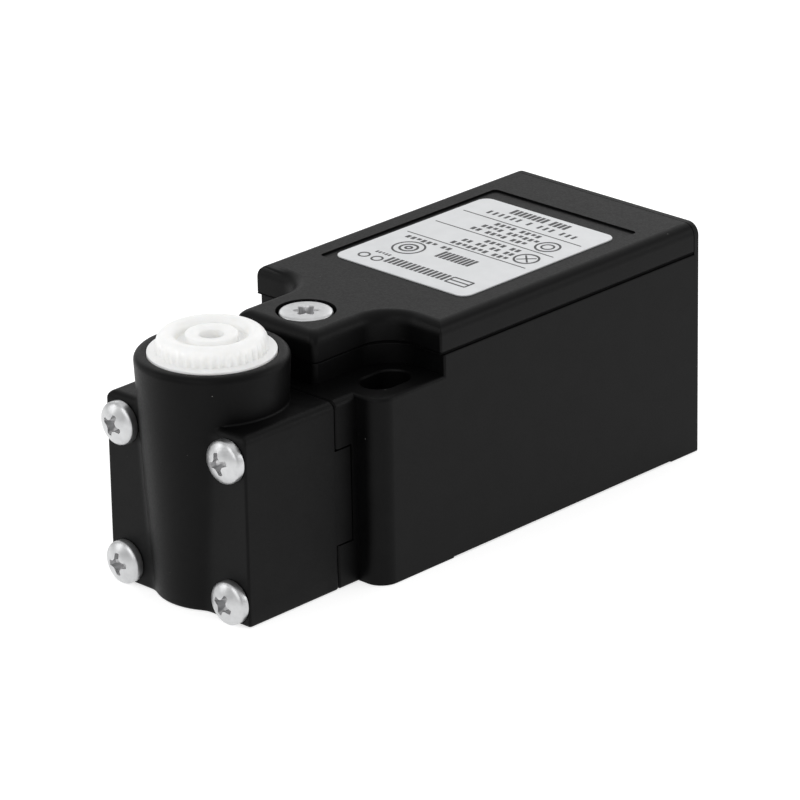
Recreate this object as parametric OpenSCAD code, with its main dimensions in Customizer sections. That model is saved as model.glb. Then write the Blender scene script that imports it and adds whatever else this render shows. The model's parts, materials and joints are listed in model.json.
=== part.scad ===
// Limit switch with a narrow plastic housing, a rotary head without its lever and one conduit entry.
// The switch lies on its mounting face: +Z leaves through the cover, +Y points to the conduit entry,
// and the rotary head is at -Y. The origin is the centre of the footprint, on the mounting face.

/* [Housing] */
// Width of the housing
body_w = 30; // [30:0.5:34]
// Length of the housing from its shoulders to the conduit end
body_len = 55.5; // [55.5:0.5:64]
// Height of the shoulders that carry the mounting slots, and of the neck and the head
shoulder_h = 23.2; // [22.8:0.1:23.6]
// Height of the joint between housing and cover
parting_h = 25.8; // [25.6:0.1:26]
// Height of the closed cover
top_h = 29.6; // [29.5:0.1:30]
// Thickness of the side walls
wall = 2.2; // [1.8:0.1:2.2]
// Thickness of the end wall that carries the conduit thread
end_wall = 9; // [8.6:0.1:9.2]
// Width of the lip that closes the end behind the cover
lip = 0.95; // [0.8:0.05:1.1]

/* [Mounting] */
// Distance between the two mounting slots
slot_pitch = 21; // [20.6:0.1:21.4]
// Width of a mounting slot, for an M4 screw
slot_w = 4.3; // [4.2:0.1:4.5]
// End-to-end length of a mounting slot
slot_len = 6.5; // [5:0.1:6.8]
// Radius of the conduit entry at the thread's crests, for M20 x 1.5
conduit_r = 9.19; // [9:0.01:9.3]
// Height of the conduit entry's centre
conduit_h = 13.9; // [13.6:0.1:13.9]

/* [Rotary head] */
// Width of the head block
head_w = 22.6; // [22.4:0.1:23]
// Depth of the head block in front of the neck
head_len = 14.5; // [14.2:0.1:14.8]
// Length of the neck
neck_len = 3.2; // [3:0.1:3.4]
// Distance from the housing's shoulders to the spindle's axis
axis_reach = 11.5; // [11.3:0.1:11.7]
// Radius of the barrel at its rim
barrel_r = 9; // [8.9:0.05:9.1]
// Radius of the barrel at its foot
barrel_foot_r = 7.5; // [7.2:0.05:7.7]
// Height of the barrel's rim
barrel_h = 29.1; // [29:0.1:29.3]
// Distance between the head screws, the same both ways, so that the head fits in quarter turns
head_pitch = 17.3; // [17:0.1:17.4]

/* [Spindle] */
// Radius of the spindle's flange
flange_r = 7.45; // [7.3:0.05:7.5]
// Radius of the crown over its teeth
crown_r = 6.42; // [6.2:0.02:6.5]
// Number of teeth on the crown
teeth = 40; // [36:1:44]
// Height of the crown's top
crown_h = 31.5; // [31.3:0.1:32]
// Angle that the spindle turns through
turn = 75; // [70:1:80]
// Travel of the plunger over that angle
travel = 3.6; // [3.4:0.1:3.6]
// Radial clearance of sliding and turning pieces
fit = 0.05; // [0.03:0.01:0.08]

/* [Contact block] */
// Length of the contact block
block_len = 25.8; // [25.8:0.1:26.2]
// Height of the contact block's top
block_h = 20.4; // [20.2:0.1:20.6]
// Distance between the two moving bridges
bridge_pitch = 9.5; // [9.3:0.1:9.5]
// Gap that a bridge closes
contact_gap = 2; // [1.8:0.1:2.2]

/* [Hidden] */

$fn = 96;
over = 1;                        // how far a cutter runs past the face that it opens
half_w = body_w / 2;

// Places along Y, from the plane of the housing's shoulders
total_len = axis_reach + barrel_r + body_len;
shoulder_y = axis_reach + barrel_r - total_len / 2;
lip_y = body_len - lip;          // inner face of the lip, which the cover meets
head_back = -neck_len;
head_front = -neck_len - head_len;

// Nose, notches and slots
nose_w = 6.5;                    // half width of the cover's nose
nose_front = -1.7;
notch_back = 10.3;
notch_y = 6.3;                   // centre of the notch's round wall
notch_r = notch_back - notch_y;
ledge = 0.6;                     // how far the cover stands over the notch's lower wall
slot_y = 5.7;
shoulder_r = 2.4;                // plan radius of the shoulders
end_r = 0.3;                     // plan radius of the corners beside the notches and at the conduit end
nose_r = 0.8;                    // and of the nose
pad_len = 12;                    // the mounting face's raised pad at the head end
pad_end = 5;                     // and at the conduit end
pad_h = 0.2;

// Cavity, gasket and cover
floor_t = 2.2;
cavity_x = half_w - wall;
cavity_front = 12.7;
cavity_end = body_len - end_wall;
seam = 0.2;                      // open seam between housing and cover
cover_z = parting_h + seam;
cover_end = lip_y - 0.1;
cover_t = 1.5;
gasket_in = 0.9;
gasket_w = 1;
gasket_end = cavity_end + 1.8;
gasket_groove = 0.6;
skirt_gap = 0.3;
skirt_t = 1;
skirt_z = parting_h - 1.2;
skirt_front = cavity_front + 0.6;
skirt_end = cavity_end - 2;
pocket_x = 11.6;
pocket_y = [17.5, 48.1];
pocket_z = top_h - 0.25;
pocket_r = 0.6;
label_size = [21.4, 26.6];
label_y = 18.85;
label_t = 0.15;
label_r = 1.4;
screw_y = 3.6;                   // cover screw
screw_head_r = 3.2;
screw_seat = 27.5;
screw_top = top_h;
screw_tip = 22.6;
screw_gap = 0.2;                 // clearance of the cover screw's shank and ring in the cover
screw_recess_gap = 0.35;         // clearance round its head
lobe_size = [3.2, 0.9, 2];       // bar that cuts two of the recess's six lobes, half of it in the head
m3_r = 1.5;
insert_r = 2.5;
insert_bore = 1.9;
insert_z = [20, 25.6];
insert_room = 0.4;               // hollow below the insert
ring_r = 2.6;
ring_z = [26.1, 26.7];
hook_x = 7;                      // centre of each hook under the lip
hook_w = 5;
hook_z = parting_h - 2.3;
hook_t = 1.3;
hook_gap = 0.5;                  // between a hook and the lip
hook_toe = 0.3;                  // how far a hook's toe and its undercut reach under the lip
hook_toe_h = 1;
hook_toe_gap = 0.1;
hook_room = 0.3;
hook_pocket_y = cavity_end + 2.6;
hook_bite = 0.8;                 // height of the lip's edge over the undercut

// Head
head_z = shoulder_h / 2 - 0.3;   // centre of the screw pattern and of the plunger
hole_z = [head_z - head_pitch / 2, head_z + head_pitch / 2];
pan_r = 2.6;
pan_t = 1.9;
pan_seat_gap = 0.15;
barrel_step = 0.3;               // the barrel stands clear of the housing's shoulders above this step
cross_size = [2.8, 0.6, 2.2];    // length, width and twice the depth of the cross recess
head_screw_end = 1.2;            // how far the head screws reach behind the shoulder plane
thread_room = 0.3;               // how far their holes go on
lug_t = 1.5;
lug_len = 2.2;
lug_z = [5.6, 17.2];
lug_gap = 0.2;
chamber_z = [7, 16];
chamber_r = 5.6;
chamber_x = 7.4;
head_gasket_x = 8.6;
head_gasket_z = [5.2, 17.8];
head_gasket_w = 1.1;
head_gasket_t = 0.7;

// Spindle and cam
shaft_r = 4;
journal_r = 2.5;
journal_z = 2;
square_w = 5;
square_z = 7.5;
shaft_z = 14.4;
clip_z = [15, 15.6];
clip_r = 5;
clip_groove = 3.3;
clip_mouth = 4;
seal_z = 23.4;
seal_t = 0.52;
seal_r = shaft_r - 0.48;
seal_groove_w = 1.4;
flange_z = [28, 29.3];
flange_seat = 27.9;
flange_gap = 0.1;
bearing_room = 0.2;              // below the journal
crown_in = 4.1;
tooth_flanks = [0.22, 0.5, 0.78]; // along a tooth's pitch: end of its tip, then the valley's two ends
tooth_foot = 0.955;              // share of the crown's radius in the valleys
crown_cap = 0.93;                // and on the plain cap above the teeth
crown_cap_h = 0.7;
hub_r = 3.05;
hub_h = 31.3;
crown_floor = 30.2;
lever_screw_r = 1.25;
lever_screw_z = 20;
cam_z = [8.5, 14.3];
cam_r = 3.2;
cam_step = 3;                    // degrees between the points of the cam's outline
cam_over = 4;                    // degrees that the cam's lobe goes on past the turn
cam_rise = travel / (turn * PI / 180);
cam_plate = [cam_r + 0.7, 1.4];  // radius and thickness of the cam's round foot
square_gap = 0.04;
washer_z = [7.05, 8.3];
washer_r = [3.75, 4.6];          // inside clear of the spindle's square, outside clear of the plunger

// Plunger, seal and bushing, along Y
plunger_r = 1.8;
plunger_tip = cam_r + 0.08 - axis_reach;
plunger_disc_y = plunger_tip + 1.5;
plunger_disc_t = 1;
plunger_disc_r = 3.4;
plunger_end = 10.6;
neck_bore = 4;
bushing_y = [1, 4.5];
seal_y = [4.6, 6.2];
neck_bore_end = 6.3;
guide_bore = 2.2;

// Springs
spring_sides = 6;                // sides of a spring's wire
spring_steps = 14;               // steps in each turn
end_share = 0.12;                // share of the wire in each flat end turn
end_rise = 0.3;                  // how steeply an end turn rises against an even helix
plunger_coil = [2.9, 4, 0.5];    // mean radius, turns and wire of each spring
carriage_coil = [2.2, 5, 0.45];
contact_coil = [1.2, 4, 0.35];

// Contact block, along Y
block_x = cavity_x - 0.5;
block_y = cavity_front + 0.5;
block_z = floor_t + 0.2;
carriage_x = 3;
carriage_h = 6.2;
carriage_y = [14.6, 31.4];
carriage_tip = plunger_end + 0.05;
channel_gap = 0.2;
channel_y = block_y + 1.2;
tail_gap = 0.2;                  // round the carriage's tail
spring_end = block_y + block_len - 1;
window_h = 3.4;
bridge_y = 20;
bridge_t = 0.6;
bridge_x = 8;
bridge_h = 2.8;
window_len = 4.6;
tip_x = 6.6;
tip_r = 1.2;
tip_t = 0.6;
tip_y = bridge_y + bridge_t + tip_t + contact_gap;
strip_t = 0.8;
strip_y = tip_y + tip_t;
strip_x = [5.2, 10.8];
bay_x = 9.4;
bay_y = [bridge_y - 0.6, strip_y + strip_t + 0.3];
bay_z = head_z - bridge_h / 2 - 0.8;
strip_gap = [0.1, 0.05];         // at a strip's edge and faces
plate_x = [4.8, 11.2];
plate_y = [strip_y - 6.6, strip_y + strip_t];
terminal_x = 8;
terminal_y = strip_y - 3.4;
terminal_r = 1.6;
terminal_tip = 15.6;
terminal_room = [0.3, 0.6];      // round and below a terminal screw's shank
plate_t = 0.8;
lid_t = 1;
lid_rib = 0.5;
lid_gap = [0.05, 0.1, 0.2, 0.3]; // beside and at the ends of its rib, at its ends, and at the plates
clamp_w = 6;
clamp_z = [block_h + 1.5, block_h + 2.5];
terminal_head_r = 2.9;
terminal_head_t = 2;
slot_cut = [0.8, 1];             // width and depth of the driver slot
cross_cut = [3.2, 1.2];          // length and depth of the short slot across it

// Colours
black = [0.09, 0.09, 0.1];
nylon = [0.93, 0.93, 0.91];
steel = [0.75, 0.76, 0.77];
brass = [0.8, 0.66, 0.36];
copper = [0.78, 0.47, 0.3];
rubber = [0.16, 0.16, 0.17];
cream = [0.86, 0.83, 0.72];
dark_green = [0.12, 0.3, 0.22];
silver = [0.88, 0.89, 0.9];

// ---- shapes that repeat ----

module at_shoulder() {
  translate([0, shoulder_y, 0]) children();
}

module both_sides() {
  children();
  mirror([1, 0, 0]) children();
}

// A cylinder along +Y from y to y + len, at height z
module rod(y, len, r, z = head_z, x = 0) {
  translate([x, y, z]) rotate([-90, 0, 0]) cylinder(r = r, h = len);
}

module block(x0, x1, y0, y1, z0, z1) {
  translate([x0, y0, z0]) cube([x1 - x0, y1 - y0, z1 - z0]);
}

module mid_block(half_x, y0, y1, z0, z1) {
  block(-half_x, half_x, y0, y1, z0, z1);
}

// Cuts the sharp corner at [x, y], whose outward directions are sx and sy, to the radius r
module corner_cut(x, y, sx, sy, r) {
  difference() {
    translate([sx > 0 ? x - r : x - over, sy > 0 ? y - r : y - over]) square(r + over);
    translate([x - sx * r, y - sy * r]) circle(r);
  }
}

// Outline of the cover, with the nose and the two notches. The first inset is on the notch side,
// the second on the long sides
module nose_outline(inset, side, y_end) {
  back = notch_back + inset;
  nx = nose_w - inset;
  difference() {
    union() {
      translate([side - half_w, back]) square([2 * (half_w - side), y_end - back]);
      translate([-nx, nose_front + inset]) square([2 * nx, back - nose_front - inset + over]);
      both_sides() difference() {
        translate([nx, notch_y]) square([notch_r + inset, notch_r + inset]);
        translate([nx + notch_r + inset, notch_y]) circle(notch_r + inset);
      }
    }
    both_sides() corner_cut(half_w - side, back, 1, -1, end_r);
    both_sides() corner_cut(nx, nose_front + inset, 1, -1, nose_r);
  }
}

module slot_2d() {
  translate([slot_pitch / 2, slot_y]) {
    square([slot_w, slot_len - slot_w], center = true);
    for (s = [-1, 1]) translate([0, s * (slot_len - slot_w) / 2]) circle(d = slot_w);
  }
}

// Rectangle with round corners, from [0, 0]
module round_rect(size, r) {
  translate([r, 0]) square([size[0] - 2 * r, size[1]]);
  translate([0, r]) square([size[0], size[1] - 2 * r]);
  for (x = [r, size[0] - r], y = [r, size[1] - r]) translate([x, y]) circle(r);
}

// Share of a spring's rise at the share s of its wire: the end turns lie flat, the others
// share the rise
function rise_at(s) =
  s < end_share ? end_rise * s :
  s > 1 - end_share ? 1 - end_rise * (1 - s) :
  end_rise * end_share + (s - end_share) * (1 - 2 * end_rise * end_share) / (1 - 2 * end_share);

// Compression spring along +Y from y, swept as one tube with flat sides
module spring(y, len, coil) {
  n = coil[1] * spring_steps;
  wire_r = coil[2] / 2;
  rise = len - coil[2];
  ring = function(i) let (a = 360 * i / spring_steps) [
      for (k = [0:spring_sides - 1])
        let (b = 360 * k / spring_sides, q = coil[0] + wire_r * cos(b))
        [q * cos(a), wire_r + rise * rise_at(i / n) + wire_r * sin(b), q * sin(a)]];
  pts = [for (i = [0:n]) each ring(i)];
  skin = [for (i = [0:n - 1], k = [0:spring_sides - 1])
      let (a = i * spring_sides + k, b = i * spring_sides + (k + 1) % spring_sides)
      [a, a + spring_sides, b + spring_sides, b]];
  first = [for (k = [0:spring_sides - 1]) k];
  last = [for (k = [spring_sides - 1:-1:0]) n * spring_sides + k];
  translate([0, y, head_z])
    polyhedron(points = pts, faces = concat(skin, [first, last]), convexity = 8);
}

module head_holes(r, y0, y1) {
  both_sides() for (z = hole_z) rod(y0, y1 - y0, r, z, head_pitch / 2);
}

// ---- housing and cover ----

module housing() {
  color(black) at_shoulder() difference() {
    union() {
      // lower block with its round shoulders
      linear_extrude(shoulder_h) difference() {
        translate([-half_w, 0]) square([body_w, body_len]);
        both_sides() corner_cut(half_w, 0, 1, -1, shoulder_r);
        both_sides() corner_cut(half_w, body_len, 1, 1, end_r);
      }
      // upper part behind the notches
      translate([0, 0, shoulder_h - over]) linear_extrude(parting_h - shoulder_h + over)
        difference() {
          nose_outline(ledge, 0, body_len);
          both_sides() corner_cut(half_w, body_len, 1, 1, end_r);
        }
      // lip
      translate([0, 0, parting_h - over]) linear_extrude(top_h - parting_h + over) difference() {
        translate([-half_w, lip_y]) square([body_w, lip]);
        both_sides() corner_cut(half_w, body_len, 1, 1, end_r);
      }
      // neck
      mid_block(head_w / 2, -neck_len, over, 0, shoulder_h);
    }
    // underside between the two pads
    mid_block(half_w + over, pad_len, body_len - pad_end, -over, pad_h);
    // cavity
    mid_block(cavity_x, cavity_front, cavity_end, floor_t, top_h);
    // conduit entry
    rod(cavity_end - over, end_wall + 2 * over, conduit_r, conduit_h);
    // mounting slots
    translate([0, 0, -over]) linear_extrude(top_h) both_sides() slot_2d();
    // plunger passage
    rod(-neck_len - over, neck_bore_end + neck_len + over, neck_bore);
    rod(neck_bore_end - over, cavity_front - neck_bore_end + 2 * over, guide_bore);
    // seats of the head's lugs
    both_sides() block(head_w / 2 - lug_t - lug_gap, half_w, -neck_len - over,
      lug_len - neck_len + lug_gap, lug_z[0] - lug_gap, lug_z[1] + lug_gap);
    // threads of the head screws
    head_holes(m3_r, -neck_len - over, head_screw_end + thread_room);
    // seat of the threaded insert
    translate([0, screw_y, insert_z[0] - insert_room]) cylinder(r = insert_r, h = top_h);
    // pockets of the cover's hooks, with the undercut below the lip
    both_sides() {
      block(hook_x - hook_w / 2 - hook_room, hook_x + hook_w / 2 + hook_room,
        hook_pocket_y, lip_y - seam, hook_z - hook_room, parting_h + over);
      block(hook_x - hook_w / 2 - hook_room, hook_x + hook_w / 2 + hook_room,
        lip_y - over, lip_y + hook_toe + hook_toe_gap, hook_z - hook_room, parting_h - hook_bite);
    }
  }
}

module cover() {
  color(black) at_shoulder() difference() {
    union() {
      translate([0, 0, cover_z]) linear_extrude(top_h - cover_z) nose_outline(0, 0, cover_end);
      // skirt inside the cavity, on three sides
      difference() {
        mid_block(cavity_x - skirt_gap, skirt_front, skirt_end, skirt_z, cover_z + over);
        mid_block(cavity_x - skirt_gap - skirt_t, skirt_front + skirt_t, cavity_end,
          skirt_z - over, top_h);
      }
      // hooks
      both_sides() {
        block(hook_x - hook_w / 2, hook_x + hook_w / 2, lip_y - hook_gap - hook_t, lip_y - hook_gap,
          hook_z, cover_z + over);
        block(hook_x - hook_w / 2, hook_x + hook_w / 2, lip_y - hook_gap - over,
          lip_y + hook_toe - hook_toe_gap, hook_z, hook_z + hook_toe_h);
      }
    }
    // hollow underside
    mid_block(cavity_x - skirt_gap - skirt_t, skirt_front + skirt_t, gasket_end - 2 * gasket_w,
      skirt_z - over, pocket_z - cover_t);
    // gasket's groove
    translate([0, 0, cover_z - over]) linear_extrude(over + gasket_groove) gasket_2d();
    // label's recess
    translate([-pocket_x, pocket_y[0], pocket_z]) linear_extrude(over)
      round_rect([2 * pocket_x, pocket_y[1] - pocket_y[0]], pocket_r);
    // screw's recess, hole and the ring's pocket
    translate([0, screw_y, screw_seat]) cylinder(r = screw_head_r + screw_recess_gap, h = top_h);
    translate([0, screw_y, cover_z - over]) {
      cylinder(r = m3_r + screw_gap, h = top_h);
      cylinder(r = ring_r + screw_gap, h = over + ring_z[1] - cover_z + fit);
    }
  }
}

module gasket_2d() {
  difference() {
    nose_outline(gasket_in, gasket_in, gasket_end);
    nose_outline(gasket_in + gasket_w, gasket_in + gasket_w, gasket_end - gasket_w);
  }
}

module cover_gasket() {
  color(rubber) at_shoulder() translate([0, 0, parting_h])
    linear_extrude(cover_z + gasket_groove - parting_h) gasket_2d();
}

module cover_screw() {
  color(steel) at_shoulder() translate([0, screw_y, 0]) difference() {
    union() {
      translate([0, 0, screw_seat]) cylinder(r = screw_head_r, h = screw_top - screw_seat);
      translate([0, 0, screw_tip]) cylinder(r = m3_r, h = screw_seat - screw_tip + over);
    }
    // six-lobed recess
    for (k = [0:2]) translate([0, 0, screw_top]) rotate([0, 0, 60 * k])
      cube(lobe_size, center = true);
  }
}

module cover_screw_ring() {
  color(nylon) at_shoulder() translate([0, screw_y, ring_z[0]]) difference() {
    cylinder(r = ring_r, h = ring_z[1] - ring_z[0]);
    translate([0, 0, -over]) cylinder(r = m3_r, h = 3 * over);
  }
}

module cover_screw_insert() {
  color(brass) at_shoulder() translate([0, screw_y, insert_z[0]]) difference() {
    cylinder(r = insert_r, h = insert_z[1] - insert_z[0]);
    translate([0, 0, -over]) cylinder(r = insert_bore, h = top_h);
  }
}

module label() {
  color(silver) at_shoulder() translate([-label_size[0] / 2, label_y, pocket_z])
    linear_extrude(label_t) round_rect(label_size, label_r);
}

// ---- rotary head ----

module head_housing() {
  color(black) at_shoulder() difference() {
    union() {
      mid_block(head_w / 2, head_front, head_back, 0, shoulder_h);
      intersection() {
        translate([0, -axis_reach, 0]) cylinder(r1 = barrel_foot_r, r2 = barrel_r, h = barrel_h);
        union() {
          mid_block(half_w, -2 * axis_reach, head_back, 0, barrel_h);
          mid_block(half_w, -2 * axis_reach, 0, shoulder_h + barrel_step, barrel_h);
        }
      }
      // lugs that set the head in its quarter turn
      both_sides() block(head_w / 2 - lug_t, head_w / 2, head_back - over, lug_len - neck_len,
        lug_z[0], lug_z[1]);
    }
    // recess of the flange, upper bearing and lower bearing
    translate([0, -axis_reach, flange_seat]) cylinder(r = flange_r + flange_gap, h = barrel_h);
    translate([0, -axis_reach, chamber_z[1] - over]) cylinder(r = shaft_r + fit, h = barrel_h);
    translate([0, -axis_reach, journal_z - bearing_room])
      cylinder(r = journal_r + fit, h = chamber_z[0]);
    // cam chamber, open at the back
    translate([0, -axis_reach, chamber_z[0]]) cylinder(r = chamber_r, h = chamber_z[1] - chamber_z[0]);
    mid_block(chamber_x, -axis_reach, head_back + over, chamber_z[0], chamber_z[1]);
    // groove of the gasket
    head_gasket_solid(over);
    // screw holes, each with a flat seat for its head
    head_holes(m3_r + 0.1, head_front - over, head_back + over);
    head_holes(pan_r + pan_seat_gap, -2 * axis_reach, head_front);
  }
}

module head_gasket_solid(extra) {
  z0 = head_gasket_z[0];
  z1 = head_gasket_z[1];
  difference() {
    mid_block(head_gasket_x, head_back - head_gasket_t, head_back + extra, z0, z1);
    mid_block(head_gasket_x - head_gasket_w, head_back - head_gasket_t - over, head_back + 2 * over,
      z0 + head_gasket_w, z1 - head_gasket_w);
  }
}

module head_gasket() {
  color(rubber) at_shoulder() head_gasket_solid(0);
}

// Pan heads with a cross recess
module head_screws() {
  color(steel) at_shoulder() both_sides() for (z = hole_z) difference() {
    union() {
      rod(head_front - pan_t, pan_t, pan_r, z, head_pitch / 2);
      rod(head_front - over, head_screw_end - head_front + over, m3_r, z, head_pitch / 2);
    }
    translate([head_pitch / 2, head_front - pan_t, z]) {
      cube([cross_size[0], cross_size[2], cross_size[1]], center = true);
      cube([cross_size[1], cross_size[2], cross_size[0]], center = true);
    }
  }
}

module spindle() {
  tooth = 360 / teeth;
  tops = [[0, 1], [tooth_flanks[0], 1]];
  valleys = [[tooth_flanks[1], tooth_foot], [tooth_flanks[2], tooth_foot]];
  color(nylon) at_shoulder() translate([0, -axis_reach, 0]) difference() {
    union() {
      translate([0, 0, journal_z]) cylinder(r = journal_r, h = square_z - journal_z);
      translate([-square_w / 2, -square_w / 2, square_z])
        cube([square_w, square_w, shaft_z - square_z]);
      translate([0, 0, shaft_z]) cylinder(r = shaft_r, h = flange_z[0] - shaft_z);
      translate([0, 0, flange_z[0]]) cylinder(r = flange_r, h = flange_z[1] - flange_z[0]);
      // toothed crown
      translate([0, 0, flange_z[1]]) linear_extrude(crown_h - crown_cap_h - flange_z[1])
        polygon([for (k = [0:teeth - 1], c = concat(tops, valleys))
          crown_r * c[1] * [cos(tooth * (k + c[0])), sin(tooth * (k + c[0]))]]);
      translate([0, 0, crown_h - crown_cap_h]) cylinder(r = crown_r * crown_cap, h = crown_cap_h);
    }
    translate([0, 0, crown_floor]) difference() {
      cylinder(r = crown_in, h = crown_h);
      translate([0, 0, -over]) cylinder(r = hub_r, h = over + hub_h - crown_floor);
    }
    // hole of the lever's screw, and the grooves of the seal and the clip
    translate([0, 0, lever_screw_z]) cylinder(r = lever_screw_r, h = crown_h);
    translate([0, 0, seal_z - seal_groove_w / 2]) groove(seal_r - seal_t, seal_groove_w);
    translate([0, 0, clip_z[0]]) groove(clip_groove, clip_z[1] - clip_z[0]);
  }
}

module groove(r, h) {
  difference() {
    cylinder(r = shaft_r + over, h = h);
    translate([0, 0, -over]) cylinder(r = r, h = h + 2 * over);
  }
}

// The cam lifts the plunger's round nose evenly with the angle: its flank is the curve at the nose's
// radius inside the spiral that the nose's centre follows
module cam() {
  centre = cam_r + plunger_r;
  steepest = atan(cam_rise / centre);
  flank = function(a) let (
      c = centre + travel * a / turn,
      u = [sin(a), cos(a)],
      t = [-cos(a), sin(a)]
    ) c * u - plunger_r * (c * u + cam_rise * t) / norm([c, cam_rise]);
  color(steel) at_shoulder() translate([0, -axis_reach, cam_z[0]]) difference() {
    union() {
      cylinder(r = cam_plate[0], h = cam_plate[1]);
      linear_extrude(cam_z[1] - cam_z[0]) polygon(concat(
        [[0, 0]],
        [for (a = [turn + cam_over, each [turn:-cam_step:0]]) flank(a)],
        [for (b = [steepest:-cam_step:0]) [plunger_r * sin(b), centre - plunger_r * cos(b)]]
      ));
      cylinder(r = cam_r, h = cam_z[1] - cam_z[0]);
    }
    cube([square_w + square_gap, square_w + square_gap, barrel_h], center = true);
  }
}

module spindle_clip() {
  color(steel) at_shoulder() translate([0, -axis_reach, clip_z[0]]) difference() {
    cylinder(r = clip_r, h = clip_z[1] - clip_z[0]);
    translate([0, 0, -over]) cylinder(r = clip_groove, h = 3 * over);
    translate([-clip_mouth / 2, 0, -over]) cube([clip_mouth, 2 * clip_r, 3 * over]);
  }
}

module spindle_seal() {
  color(rubber) at_shoulder() translate([0, -axis_reach, seal_z])
    rotate_extrude() translate([seal_r, 0]) circle(r = seal_t, $fn = 32);
}

module thrust_washer() {
  color(nylon) at_shoulder() translate([0, -axis_reach, washer_z[0]]) difference() {
    cylinder(r = washer_r[1], h = washer_z[1] - washer_z[0]);
    translate([0, 0, -over]) cylinder(r = washer_r[0], h = barrel_h);
  }
}

module head_plunger() {
  color(nylon) at_shoulder() {
    rod(plunger_tip + plunger_r, plunger_end - plunger_tip - plunger_r, plunger_r);
    translate([0, plunger_tip + plunger_r, head_z]) sphere(r = plunger_r);
    rod(plunger_disc_y, plunger_disc_t, plunger_disc_r);
  }
}

module plunger_spring() {
  y = plunger_disc_y + plunger_disc_t + fit;
  color(steel) at_shoulder() spring(y, bushing_y[0] - y - fit, plunger_coil);
}

module ring_y(y, r_out, r_in) {
  difference() {
    rod(y[0], y[1] - y[0], r_out);
    rod(y[0] - over, y[1] - y[0] + 2 * over, r_in);
  }
}

module plunger_bushing() {
  color(cream) at_shoulder() ring_y(bushing_y, neck_bore, plunger_r + fit);
}

module plunger_seal() {
  color(rubber) at_shoulder() ring_y(seal_y, neck_bore, plunger_r + fit);
}

// ---- contact block ----

// Repeats its children at the front and the rear pair of contacts
module both_pairs() {
  for (k = [0, 1]) translate([0, k * bridge_pitch, 0]) children();
}

module contact_base() {
  color(dark_green) at_shoulder() difference() {
    mid_block(block_x, block_y, block_y + block_len, block_z, block_h);
    // channel of the carriage, and its way in
    mid_block(carriage_x + channel_gap, channel_y, spring_end,
      head_z - carriage_h / 2 - channel_gap, block_h + over);
    rod(block_y - over, channel_y - block_y + 2 * over, plunger_r + tail_gap);
    both_pairs() both_sides() {
      // bay of a bridge's end and of the fixed contact
      block(0, bay_x, bay_y[0], bay_y[1], bay_z, block_h + over);
      block(bay_x - over, strip_x[1] + strip_gap[0], strip_y - strip_gap[1],
        strip_y + strip_t + strip_gap[1], bay_z, block_h + over);
      translate([terminal_x, terminal_y, terminal_tip - terminal_room[1]])
        cylinder(r = terminal_r + terminal_room[0], h = block_h);
    }
  }
}

module contact_lid() {
  color(cream) at_shoulder() {
    mid_block(carriage_x + channel_gap - lid_gap[0], channel_y + lid_gap[1], spring_end - lid_gap[1],
      head_z + carriage_h / 2 + channel_gap, block_h + lid_rib);
    mid_block(plate_x[0] - lid_gap[3], block_y + lid_gap[2], block_y + block_len - lid_gap[2],
      block_h, block_h + lid_t);
  }
}

module contact_carriage() {
  z0 = head_z - carriage_h / 2;
  color(cream) at_shoulder() difference() {
    union() {
      mid_block(carriage_x, carriage_y[0], carriage_y[1], z0, z0 + carriage_h);
      rod(carriage_tip, carriage_y[0] - carriage_tip + over, plunger_r);
    }
    both_pairs() mid_block(carriage_x + over, bridge_y + bridge_t - window_len, bridge_y + bridge_t,
      head_z - window_h / 2, head_z + window_h / 2);
  }
}

module bridge(y) {
  color(copper) at_shoulder() {
    mid_block(bridge_x, y, y + bridge_t, head_z - bridge_h / 2, head_z + bridge_h / 2);
    both_sides() rod(y + bridge_t / 2, bridge_t / 2 + tip_t, tip_r, head_z, tip_x);
  }
}

module bridge_front() {
  bridge(bridge_y);
}

module bridge_rear() {
  bridge(bridge_y + bridge_pitch);
}

module contact_spring(y) {
  color(steel) at_shoulder() spring(y + fit, window_len - bridge_t - 2 * fit, contact_coil);
}

module contact_spring_front() {
  contact_spring(bridge_y + bridge_t - window_len);
}

module contact_spring_rear() {
  contact_spring(bridge_y + bridge_t - window_len + bridge_pitch);
}

module carriage_spring() {
  color(steel) at_shoulder()
    spring(carriage_y[1] + fit, spring_end - carriage_y[1] - 2 * fit, carriage_coil);
}

// Strip with its contact tip, and the terminal plate on the block's top
module fixed_contact() {
  color(brass) at_shoulder() difference() {
    union() {
      block(strip_x[0], strip_x[1], strip_y, strip_y + strip_t,
        head_z - bridge_h / 2, block_h + plate_t);
      rod(tip_y, tip_t + strip_t / 2, tip_r, head_z, tip_x);
      block(plate_x[0], plate_x[1], plate_y[0], plate_y[1], block_h, block_h + plate_t);
    }
    translate([terminal_x, terminal_y, 0]) cylinder(r = terminal_r + fit, h = top_h);
  }
}

module fixed_contact_13() {
  mirror([1, 0, 0]) fixed_contact();
}

module fixed_contact_14() {
  fixed_contact();
}

module fixed_contact_23() {
  translate([0, bridge_pitch, 0]) mirror([1, 0, 0]) fixed_contact();
}

module fixed_contact_24() {
  translate([0, bridge_pitch, 0]) fixed_contact();
}

module terminal_screws() {
  z1 = clamp_z[1] + terminal_head_t;
  color(steel) at_shoulder() both_pairs() both_sides()
    translate([terminal_x, terminal_y, 0]) difference() {
      union() {
        translate([0, 0, terminal_tip])
          cylinder(r = terminal_r, h = clamp_z[1] - terminal_tip + over);
        translate([0, 0, clamp_z[1]]) cylinder(r = terminal_head_r, h = terminal_head_t);
      }
      translate([0, 0, z1]) {
        cube([2 * terminal_head_r + over, slot_cut[0], 2 * slot_cut[1]], center = true);
        cube([slot_cut[0], cross_cut[0], 2 * cross_cut[1]], center = true);
      }
    }
}

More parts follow.
